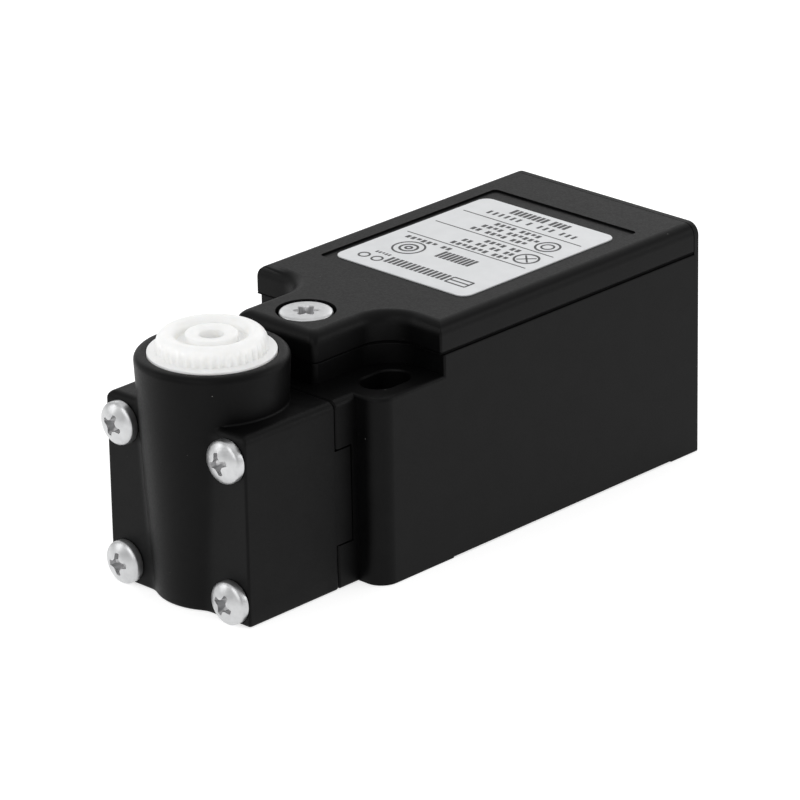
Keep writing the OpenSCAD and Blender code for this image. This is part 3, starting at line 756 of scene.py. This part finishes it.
def blend(a, b, width):
    """The larger of two radii, with a fillet where they are nearly equal."""
    near = max(width - abs(a - b), 0) / width
    return max(a, b) + near * near * width / 4


def head_angles():
    """Directions round the spindle's axis, closer together at the head block's corners."""
    front = math.degrees(math.atan2(HEAD_FRONT - AXIS_Y, HEAD_HALF))
    back = math.degrees(math.atan2(HEAD_BACK - AXIS_Y, HEAD_HALF))
    angles = set(range(360))
    for corner in (front, 180 - front, back, 180 - back):
        angles |= {round(corner + step / 4, 2) % 360 for step in range(-6, 7)}
    return [math.radians(a) for a in sorted(angles)]


HEAD_ANGLES = head_angles()


def block_reach(c, s, inset, seam):
    """Distance to the head block's outline, with an inset of its sides and one of its back."""
    half, front = HEAD_HALF - inset, AXIS_Y - HEAD_FRONT - inset
    return rectangle_reach(c, s, half, front, HEAD_BACK - AXIS_Y - seam, HEAD_CORNER)


def head_ring(z, inset, seam, barrel):
    """Outline of head block and barrel together at one height."""
    ring = []
    for a in HEAD_ANGLES:
        c, s = math.cos(a), math.sin(a)
        reach = block_reach(c, s, inset, HEAD_GAP + seam)
        if s < TURN_IN:
            reach = blend(reach, barrel, BARREL_FILLET)
        ring.append((reach * c, AXIS_Y + reach * s, z))
    return ring


def barrel_ring(z, r, clipped=False, foot=0.0):
    """Outline of the barrel alone. The foot widens it where the head's top lies around it."""
    ring = []
    for a in HEAD_ANGLES:
        c, s = math.cos(a), math.sin(a)
        shelf = (block_reach(c, s, HEAD_EDGE, 0) - r) / SHELF_FILLET
        reach = r + foot * min(max(shelf, 0), 1)
        if clipped and s > 0:
            reach = min(reach, (HEAD_BACK - HEAD_GAP - AXIS_Y) / s)
        ring.append((reach * c, AXIS_Y + reach * s, z))
    return ring


def barrel_at(z):
    return BARREL_FOOT_R + (BARREL_R - BARREL_FOOT_R) * z / BARREL_TOP


def head_outside():
    rings = []
    for inset, z in foot_fillet(HEAD_FOOT_EDGE, 0.0, 4):
        rings.append(head_ring(z, inset, min(inset, SEAM_INSET), barrel_at(z) - inset))
    for k in range(1, HEAD_ROWS):
        z = HEAD_FOOT_EDGE + (SHOULDER_H - HEAD_EDGE - HEAD_FOOT_EDGE) * k / HEAD_ROWS
        rings.append(head_ring(z, 0, 0, barrel_at(z)))
    for inset, z in fillet(HEAD_EDGE, SHOULDER_H, 8):
        rings.append(head_ring(z, inset, SEAM_INSET * inset / HEAD_EDGE, barrel_at(z)))
    for foot, z in foot_fillet(SHELF_FILLET, SHOULDER_H, 5):
        rings.append(barrel_ring(z, barrel_at(z), True, foot))
    for z, clipped in ((SHOULDER_H + NECK_CLEAR, True), (SHOULDER_H + NECK_CLEAR + 0.02, False)):
        rings.append(barrel_ring(z, barrel_at(z), clipped))
    for inset, z in fillet(RIM_R, BARREL_TOP, 5):
        rings.append(barrel_ring(z, barrel_at(z) - inset))
    for inset, z in reversed(fillet(RIM_INNER_EDGE, BARREL_TOP, 3)):
        rings.append(barrel_ring(z, RIM_INNER_R + inset))
    rings.append(barrel_ring(RECESS_Z, RIM_INNER_R))
    rings.append(barrel_ring(RECESS_Z, BEARING_R + BEARING_EDGE))
    rings.append(barrel_ring(RECESS_Z - BEARING_EDGE, BEARING_R))
    rings.append(barrel_ring(CHAMBER_Z[1] - OVER, BEARING_R))
    return loft(rings)


def y_rod(x, y0, y1, z, r, steps=64):
    rings = []
    for y in (y0, y1):
        turn = [2 * math.pi * k / steps for k in range(steps)]
        rings.append([(x + r * math.cos(a), y, z + r * math.sin(a)) for a in turn])
    return loft(rings)


def head_cutters():
    """The cam's chamber, the spindle's lower bearing and the gasket's seat."""
    low, high = CHAMBER_Z
    bore_r, bore_floor = FOOT_BORE
    half, deep, z0, z1 = GASKET_SEAT
    return [
        lathe([(0, low), (CHAMBER_R, low), (CHAMBER_R, high), (0, high)], (0, AXIS_Y, 0)),
        block(-CHAMBER_HALF, CHAMBER_HALF, AXIS_Y, HEAD_BACK + OVER, low, high),
        lathe([(0, bore_floor), (bore_r, bore_floor), (bore_r, low + OVER), (0, low + OVER)], (0, AXIS_Y, 0)),
        block(-half, half, HEAD_BACK - deep, HEAD_BACK + OVER, z0, z1),
    ]


def screw_cutters():
    """Each screw's hole, and room for its head in front of the block."""
    cutters = []
    for x in (-SCREW_PITCH / 2, SCREW_PITCH / 2):
        for z in (HEAD_Z - SCREW_PITCH / 2, HEAD_Z + SCREW_PITCH / 2):
            cutters.append(y_rod(x, HEAD_FRONT - OVER, HEAD_BACK + OVER, z, SCREW_HOLE_R))
            cutters.append(y_rod(x, 2 * AXIS_Y, HEAD_FRONT - SKIN, z, PAN_R + PAN_CLEAR))
    return cutters


def make_head():
    shell = head_outside()
    for cutter in head_cutters() + screw_cutters():
        shell = boolean(shell, cutter, "DIFFERENCE")
    thick, long, z0, z1 = LUG
    for x0, x1 in ((-HEAD_HALF + SKIN, -HEAD_HALF + thick), (HEAD_HALF - thick, HEAD_HALF - SKIN)):
        shell = boolean(shell, block(x0, x1, HEAD_BACK - OVER / 2, HEAD_BACK + long, z0, z1), "UNION")
    tidy(shell)
    finish(shell, "head_shell", "switch_body", material_of("head_housing"), ["head_housing"])


# ---------------------------------------------------------------- spindle

TEETH = 40
SPINDLE_STEPS = TEETH * 8
CROWN_R = 6.42
CROWN_TOP = spindle_hi.z
FLANGE_Z = (spindle_hi.z - 3.5, spindle_hi.z - 2.2)
FLANGE_R = 7.45
FLANGE_EDGE = 0.13
CROWN_ROUND = 1.3  # radius of the crown's rounded top edge
CROWN_INNER_ROUND = 0.95  # and of its edge towards the groove
TOOTH_DEPTH = 0.3
GROOVE_Z = 30.2
GROOVE_R = 4.1
HUB_R = 3.05
HUB_TOP = 31.3
HOLE_R = 1.25
HOLE_END = 20.0
HOLE_TIP = (0.3, 0.5)  # radius of the drilled hole's point, and its height
SHAFT_R = 4.0
SHAFT_Z = 14.4
SQUARE_HALF = 2.5
SQUARE_Z = 7.5
JOURNAL_Z = 2.0
JOURNAL_R = 2.5
CLIP_Z = (15.0, 15.6)
CLIP_GROOVE_R = 3.3
SEAL_Z = (22.7, 24.1)
SEAL_GROOVE_R = 3.0
SMALL_EDGE = 0.15  # small roundings and chamfers of the spindle
LEG_EDGE = 0.2  # and those of its lower end and its hub
CROWN_FOOT = 0.12  # flare of the crown's foot
TOOTH_SHARPNESS = 0.6  # below 1, the teeth have flat tops and valleys
HUB_DISH = ((2.05, 0), (1.88, 0.05), (1.55, 0.14), (1.42, 0.24), (HOLE_R, 0.9))  # radius, depth


def turned_ring(r, z, teeth=0.0, square=False):
    """A ring of the spindle: round, with teeth of a given depth, or square."""
    ring = []
    for k in range(SPINDLE_STEPS):
        a = 2 * math.pi * k / SPINDLE_STEPS
        c, s = math.cos(a), math.sin(a)
        reach = r
        if square:
            reach = SQUARE_HALF / max(abs(c), abs(s))
        if teeth:
            wave = math.cos(TEETH * a)
            reach -= teeth * (0.5 - 0.5 * math.copysign(abs(wave) ** TOOTH_SHARPNESS, wave))
        ring.append((reach * c, AXIS_Y + reach * s, z))
    return ring


def shaft_rings():
    """The spindle below its flange: foot, square, and shaft with the grooves for clip and seal."""
    rows = [(JOURNAL_R - LEG_EDGE, JOURNAL_Z), (JOURNAL_R, JOURNAL_Z + LEG_EDGE), (JOURNAL_R, SQUARE_Z)]
    rings = [turned_ring(*row) for row in rows]
    rings += [turned_ring(0, z, square=True) for z in (SQUARE_Z, SHAFT_Z)]
    rows = [(SHAFT_R, SHAFT_Z), (SHAFT_R, CLIP_Z[0]), (CLIP_GROOVE_R, CLIP_Z[0]), (CLIP_GROOVE_R, CLIP_Z[1])]
    rows += [(SHAFT_R, CLIP_Z[1]), (SHAFT_R - SMALL_EDGE, SEAL_Z[0]), (SEAL_GROOVE_R, SEAL_Z[0])]
    rows += [(SEAL_GROOVE_R, SEAL_Z[1]), (SHAFT_R, SEAL_Z[1]), (SHAFT_R, FLANGE_Z[0])]
    return rings + [turned_ring(*row) for row in rows]


def crown_rings():
    """The flange and the toothed crown, up to the crown's top."""
    rings = []
    for i, z in foot_fillet(SMALL_EDGE, FLANGE_Z[0], 2) + fillet(FLANGE_EDGE, FLANGE_Z[1], 4):
        rings.append(turned_ring(FLANGE_R - i, z))
    low = FLANGE_Z[1]
    rings.append(turned_ring(CROWN_R + CROWN_FOOT, low, TOOTH_DEPTH))
    rings.append(turned_ring(CROWN_R, low + CROWN_FOOT, TOOTH_DEPTH))
    rings.append(turned_ring(CROWN_R, CROWN_TOP - CROWN_ROUND - 0.1, TOOTH_DEPTH * 0.9))
    for i, z in fillet(CROWN_ROUND, CROWN_TOP, 14):
        fade = max(0.8 - (z - CROWN_TOP + CROWN_ROUND) / (CROWN_ROUND * 0.9), 0)
        rings.append(turned_ring(CROWN_R - i, z, TOOTH_DEPTH * fade))
    return rings


def hub_rings():
    """The groove inside the crown, the hub and the hole for the lever's screw."""
    rows = [(GROOVE_R + i, z) for i, z in reversed(fillet(CROWN_INNER_ROUND, CROWN_TOP, 10))]
    rows += [(GROOVE_R, GROOVE_Z + SMALL_EDGE), (GROOVE_R - SMALL_EDGE, GROOVE_Z)]
    rows += [(HUB_R + SMALL_EDGE, GROOVE_Z), (HUB_R, GROOVE_Z + SMALL_EDGE)]
    rows += [(HUB_R - i, z) for i, z in fillet(LEG_EDGE, HUB_TOP, 3)]
    rows += [(r, HUB_TOP - depth) for r, depth in HUB_DISH]
    rows += [(HOLE_R, HOLE_END + HOLE_TIP[1]), (HOLE_TIP[0], HOLE_END)]
    return [turned_ring(*row) for row in rows]


def make_spindle():
    solid = loft(shaft_rings() + crown_rings() + hub_rings())
    finish(solid, "spindle_turned", "spindle_body", material_of("spindle"), ["spindle"])


# ---------------------------------------------------------------- screws

CROSS_TURNS = {(-1, 1): 69, (1, 1): 17, (-1, -1): 4, (1, -1): 65}  # how far each cross is turned, degrees
CROSS = (1.36, 0.34, 1.3)  # reach, half width and depth of the cross recess
STAR = (1.5, 0.95, 1.1, 44)  # outer and inner radius, depth and turn of the six-lobe recess
STAR_STEPS = 96
RECESS_R = 1.6  # radius inside which a drive recess lies
RECESS_SKIN = 0.03  # how far below the surface its walls begin
SHANK_R = 1.5
TIP_EDGE = 0.3  # chamfer at a screw's tip
PAN_STEPS = 8  # rings over the pan head's dome
PAN_DOME = (PAN_R ** 2 + (PAN_T - PAN_RIM) ** 2) / (2 * (PAN_T - PAN_RIM))  # radius of the dome
FLAT_HEAD_R = 3.2
FLAT_SEAT = 27.5  # underside of the cover screw's head
FLAT_RIM = ((3.2, 0.4), (3.16, 0.24), (3.06, 0.12), (2.9, 0.05), (2.6, 0.015), (2.0, 0), (0, 0))
FLAT_RECESS_SKIN = 0.12  # and how far below the cover screw's face


def dome_height(r):
    return PAN_T - PAN_DOME + math.sqrt(PAN_DOME ** 2 - r ** 2)


def recess_faces(screw, surface):
    """Indices of the faces that lie below the head's surface, given as a height for each radius."""
    found = []
    for face in screw.data.polygons:
        x, y, z = face.center
        if 0 < z < surface(math.hypot(x, y)) - RECESS_SKIN:
            found.append(face.index)
    return found


def paint_recess_shading(screw, faces):
    """Gives the walls of a drive recess a metal tone of their own, painted in for the shade and reflections
    inside the recess.
    """
    screw.data.materials.append(RECESS_SHADING_METAL)
    for index in faces:
        screw.data.polygons[index].material_index = 1


def shank(tip, head):
    """Profile of a screw's shank from its tip up to its head."""
    return [(0, tip), (SHANK_R - TIP_EDGE, tip), (SHANK_R, tip + TIP_EDGE), (SHANK_R, head)]


def pan_profile():
    """Head and shank of a head screw along +Z, from the tip up to the domed face."""
    points = shank(-HEAD_SCREW_LEN, 0)
    points += [(PAN_R - 0.1, 0), (PAN_R, 0.1), (PAN_R, PAN_RIM - 0.12)]
    for k in range(PAN_STEPS + 1):
        r = (PAN_R - 0.08) * (1 - k / PAN_STEPS)
        points.append((r, dome_height(r)))
    return points


def cross_arm(long, wide):
    """One arm of the cross along +X, with half of the round shoulder that leads to the next."""
    neck = wide * 1.5
    return [(long * 0.97, -wide * 0.9), (long * 1.03, 0), (long * 0.97, wide * 0.9),
            (neck * 1.35, wide * 1.05), (neck * 0.98, neck * 0.98), (wide * 1.05, neck * 1.35)]


def cross_cutter(top, reach, half_w, depth, turn):
    """A cross recess with round shoulders between its arms, narrowing downwards."""
    rings = []
    for z, f in ((top + 0.5, 1.08), (top - 0.2, 1.0), (top - depth * 0.75, 0.8), (top - depth, 0.4)):
        ring = []
        for quarter in range(4):
            base = math.radians(90 * quarter + turn)
            c, s = math.cos(base), math.sin(base)
            for x, y in cross_arm(reach * f, half_w * (0.5 + 0.5 * f)):
                ring.append((x * c - y * s, x * s + y * c, z))
        rings.append(ring)
    return loft(rings)


def star_cutter(top, outer, inner, depth, turn):
    """A six-lobe recess with straight walls and a dished floor."""
    rings = []
    for z, f in ((top + 0.1, 1.16), (top - 0.1, 1.0), (top - depth, 0.97), (top - depth - 0.25, 0.3)):
        ring = []
        for k in range(STAR_STEPS):
            a = 2 * math.pi * k / STAR_STEPS
            wave = 0.5 + 0.5 * math.cos(6 * a)
            r = f * (inner + (outer - inner) * wave ** 0.8)
            ring.append((r * math.cos(a + math.radians(turn)), r * math.sin(a + math.radians(turn)), z))
        rings.append(ring)
    return loft(rings)


def make_head_screws():
    for (sx, sz), turn in CROSS_TURNS.items():
        screw = boolean(lathe(pan_profile(), steps=64), cross_cutter(PAN_T, *CROSS, turn), "DIFFERENCE")
        recess = recess_faces(screw, lambda r: dome_height(r) if r < RECESS_R else 0)
        spot = Vector((sx * SCREW_PITCH / 2, HEAD_FRONT, HEAD_Z + sz * SCREW_PITCH / 2))
        screw.data.transform(Matrix.Translation(spot) @ Matrix.Rotation(math.radians(90), 4, "X"))
        name = "head_screw_%s_%s" % ("right" if sx > 0 else "left", "upper" if sz > 0 else "lower")
        finish(screw, name, "switch_body", material_of("head_screws"), ["head_screws"])
        paint_recess_shading(screw, recess)


def make_cover_screw():
    top = screw_hi.z
    points = shank(screw_lo.z, FLAT_SEAT)
    points += [(FLAT_HEAD_R - 0.1, FLAT_SEAT), (FLAT_HEAD_R, FLAT_SEAT + 0.1)]
    points += [(r, top - drop) for r, drop in FLAT_RIM]
    screw = boolean(lathe(points, steps=96), star_cutter(top, *STAR), "DIFFERENCE")
    recess = recess_faces(screw, lambda r: top - FLAT_RECESS_SKIN if r < RECESS_R else 0)
    spot = Vector(((screw_lo.x + screw_hi.x) / 2, (screw_lo.y + screw_hi.y) / 2, 0))
    screw.data.transform(Matrix.Translation(spot))
    finish(screw, "cover_screw_turned", "cover_body", material_of("cover_screw"), ["cover_screw"])
    paint_recess_shading(screw, recess)


# ---------------------------------------------------------------- label

PRINT_T = 0.02
LABEL_R = 1.4
# Places on the label are counted from its near left corner.
RULES_Y = (11.5, 16.4, 21.3)
RULES_X = (1.2, 20.3)
RULE_W = 0.16
ROWS = [  # start, foot and height of a row, letters per word, pitch, share inked
    (15.6, 2.3, 1.8, (14,), 0.70, 0.62),
    (5.4, 4.0, 0.5, (5,), 0.50, 0.55),
    (14.8, 7.5, 2.1, (9,), 0.62, 0.66),
    (9.4, 10.0, 0.75, (2, 6), 0.85, 0.62),
    (16.5, 12.1, 0.8, (3, 7), 0.85, 0.62),
    (16.2, 13.5, 0.8, (2, 2, 2, 2), 0.80, 0.62),
    (16.0, 14.9, 0.8, (2, 4), 0.85, 0.62),
    (14.8, 17.2, 0.8, (3, 4, 2), 0.85, 0.62),
    (15.5, 18.6, 0.8, (6, 4), 0.85, 0.62),
    (14.6, 20.0, 0.8, (4, 4), 0.85, 0.62),
    (17.9, 22.5, 1.0, (3, 3, 1, 6), 0.95, 0.40),
    (15.0, 24.2, 1.5, (4, 8), 0.72, 0.66),
]
RINGS = [  # centre, radius and line width
    (5.2, 7.6, 2.1, 0.25), (5.2, 7.6, 1.25, 0.30), (5.2, 7.6, 0.55, 0.30), (4.9, 2.5, 0.80, 0.25),
    (2.8, 2.5, 0.80, 0.25), (18.3, 14.0, 1.65, 0.28), (17.5, 18.6, 1.65, 0.28), (17.5, 18.6, 0.9, 0.25),
]
RING_CROSS = (18.3, 14.0, 0.85)  # a diagonal cross in a ring, and half its width
RING_CROSS_W = 0.22
FRAME = (16.1, 2.3, 19.2, 4.0)  # an empty ruled box
FRAME_W = 0.24
FILM_EDGE = 0.05


def rounded(x0, x1, y0, y1, r):
    points = arc(x1 - r, y1 - r, r, 90, 0, 8) + arc(x1 - r, y0 + r, r, 0, -90, 8)
    return points + arc(x0 + r, y0 + r, r, -90, -180, 8) + arc(x0 + r, y1 - r, r, 180, 90, 8)


def bar(x0, x1, y0, y1):
    """A printed bar, with x and y counted from the label's near left corner."""
    x, y = label_lo.x, label_lo.y
    return [(x + x0, y + y0), (x + x1, y + y0), (x + x1, y + y1), (x + x0, y + y1)]


def circle_band(cx, cy, r, width, steps=32):
    """A printed circle as a row of short bars."""
    bars = []
    for k in range(steps):
        a, b = 2 * math.pi * k / steps, 2 * math.pi * (k + 1) / steps
        corner = [(cx + q * math.cos(t), cy + q * math.sin(t)) for q, t in
                  ((r - width, a), (r, a), (r, b), (r - width, b))]
        bars.append([(label_lo.x + x, label_lo.y + y) for x, y in corner])
    return bars


def stroke(x0, y0, x1, y1, width):
    """A printed line from one point to another."""
    along = Vector((x1 - x0, y1 - y0)).normalized() * width / 2
    side = Vector((-along.y, along.x))
    x, y = label_lo.x, label_lo.y
    return [(x + x0 - side.x, y + y0 - side.y), (x + x1 - side.x, y + y1 - side.y),
            (x + x1 + side.x, y + y1 + side.y), (x + x0 + side.x, y + y0 + side.y)]


def text_row(x, y, height, words, pitch, inked):
    """Small blocks that stand for the letters of words, running towards -X."""
    bars = []
    for letters in words:
        for k in range(letters):
            short = height < 1 and (5 * k + letters) % 3 == 0
            low = 0.3 * height if short else 0
            bars.append(bar(x - pitch * inked, x, y + low, y + height))
            x -= pitch
        x -= 0.8 * pitch
    return bars


def ruled_box(x0, y0, x1, y1, width):
    """A box with one level line in it."""
    corners = [(x0, y0), (x1, y0), (x1, y1), (x0, y1)]
    middle = (y0 + y1) / 2
    sides = [stroke(*corners[k - 1], *corners[k], width) for k in range(4)]
    return sides + [stroke(x0, middle, x1, middle, width)]


def printed_shapes():
    """Rules, rings, a box and blocks in place of print."""
    shapes = [bar(RULES_X[0], RULES_X[1], y, y + RULE_W) for y in RULES_Y]
    for row in ROWS:
        shapes += text_row(*row)
    for ring in RINGS:
        shapes += circle_band(*ring)
    x, y, half = RING_CROSS
    shapes += [stroke(x - half, y - half, x + half, y + half, RING_CROSS_W),
               stroke(x - half, y + half, x + half, y - half, RING_CROSS_W)]
    return shapes + ruled_box(*FRAME, FRAME_W)


def make_label():
    rows = [(0, label_lo.z), (0, label_hi.z - FILM_EDGE), (FILM_EDGE, label_hi.z)]
    rings = []
    for inset, z in rows:
        ring = rounded(label_lo.x + inset, label_hi.x - inset, label_lo.y + inset, label_hi.y - inset,
                       LABEL_R - inset)
        rings.append(at_height(ring, z))
    finish(loft(rings), "label_plate", "cover_body", material_of("label"), ["label"])
    bm = bmesh.new()
    for shape in printed_shapes():
        piece = loft([at_height(shape, label_hi.z), at_height(shape, label_hi.z + PRINT_T)])
        bm.from_mesh(piece.data)
        discard(piece)
    finish(temp(bm), "label_print", "cover_body", INK, ["label"])


# ---------------------------------------------------------------- inner pieces

EDGE_WIDTHS = {  # rounding of the inner pieces' edges, millimetres
    "cover_gasket": 0.15, "cover_screw_ring": 0.1, "cover_screw_insert": 0.12, "head_gasket": 0.12,
    "cam": 0.1, "spindle_clip": 0.06, "spindle_seal": 0, "thrust_washer": 0.08, "head_plunger": 0.1,
    "plunger_bushing": 0.12, "plunger_seal": 0.2, "contact_base": 0.2, "contact_lid": 0.18,
    "contact_carriage": 0.15, "bridge_front": 0.08, "bridge_rear": 0.08, "fixed_contact_13": 0.08,
    "fixed_contact_14": 0.08, "fixed_contact_23": 0.08, "fixed_contact_24": 0.08, "terminal_screws": 0.12,
    "clamp_plates": 0.1,
}


def make_inner_pieces():
    for cad_node, width in EDGE_WIDTHS.items():
        obj = cad_copy(cad_node)
        if width:
            modifier = obj.modifiers.new("edges", "BEVEL")
            modifier.width = width * MM
            modifier.segments = 2
            modifier.limit_method = "ANGLE"
            modifier.angle_limit = math.radians(32)
        finish(obj, cad_node + "_shape", BODIES[cad_node], material_of(cad_node), [cad_node])


SPRINGS = {  # mean radius, turns, wire, share of the length left at the limit
    "plunger_spring": (2.9, 4, 0.5, 0.456),
    "carriage_spring": (2.2, 5, 0.45, 0.446),
    "contact_spring_front": (1.2, 4, 0.35, 0.585),
    "contact_spring_rear": (1.2, 4, 0.35, 0.585),
}
SPRING_BODIES = {  # the contact springs travel with the bridges that they press on
    "contact_spring_front": "bridge_front_body", "contact_spring_rear": "bridge_rear_body",
}
COIL_STEPS = 36  # steps round each turn
WIRE_SIDES = 10
END_SHARE = 0.12  # share of the wire in each flat end turn
END_SLOPE = 0.3  # how steeply an end turn rises against an even helix


def coil_rise(t):
    """Share of the rise at a share t of the wire: flat at both ends, even between them."""
    if t < END_SHARE:
        return END_SLOPE * t
    if t > 1 - END_SHARE:
        return 1 - END_SLOPE * (1 - t)
    return END_SLOPE * END_SHARE + (t - END_SHARE) * (1 - 2 * END_SLOPE * END_SHARE) / (1 - 2 * END_SHARE)


def coil(y0, y1, radius, turns, wire):
    """A compression spring along Y with flat, closed end turns."""
    steps = turns * COIL_STEPS
    rings = []
    for i in range(steps + 1):
        a = 2 * math.pi * i / COIL_STEPS
        y = y0 + wire / 2 + (y1 - y0 - wire) * coil_rise(i / steps)
        ring = []
        for k in range(WIRE_SIDES):
            b = 2 * math.pi * k / WIRE_SIDES
            q = radius + wire / 2 * math.cos(b)
            ring.append((q * math.cos(a), y + wire / 2 * math.sin(b), HEAD_Z + q * math.sin(a)))
        rings.append(ring)
    return loft(rings)


def make_springs():
    """Each spring is a coil over its CAD spring's length, riding with the body given for it."""
    for cad_node, (radius, turns, wire, keep) in SPRINGS.items():
        lo, hi = box_mm(cad_node)
        obj = coil(lo.y, hi.y, radius, turns, wire)
        body = SPRING_BODIES.get(cad_node, BODIES[cad_node])
        finish(obj, cad_node + "_coil", body, material_of(cad_node), [cad_node])
        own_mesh(obj)


make_camera()
make_studio()
make_cover()
make_housing()
make_head()
make_spindle()
make_head_screws()
make_cover_screw()
make_label()
make_inner_pieces()
make_springs()
for name, cad in frame["nodes"].items():
    cad.data.materials.clear()
    cad.data.materials.append(material_of(name))
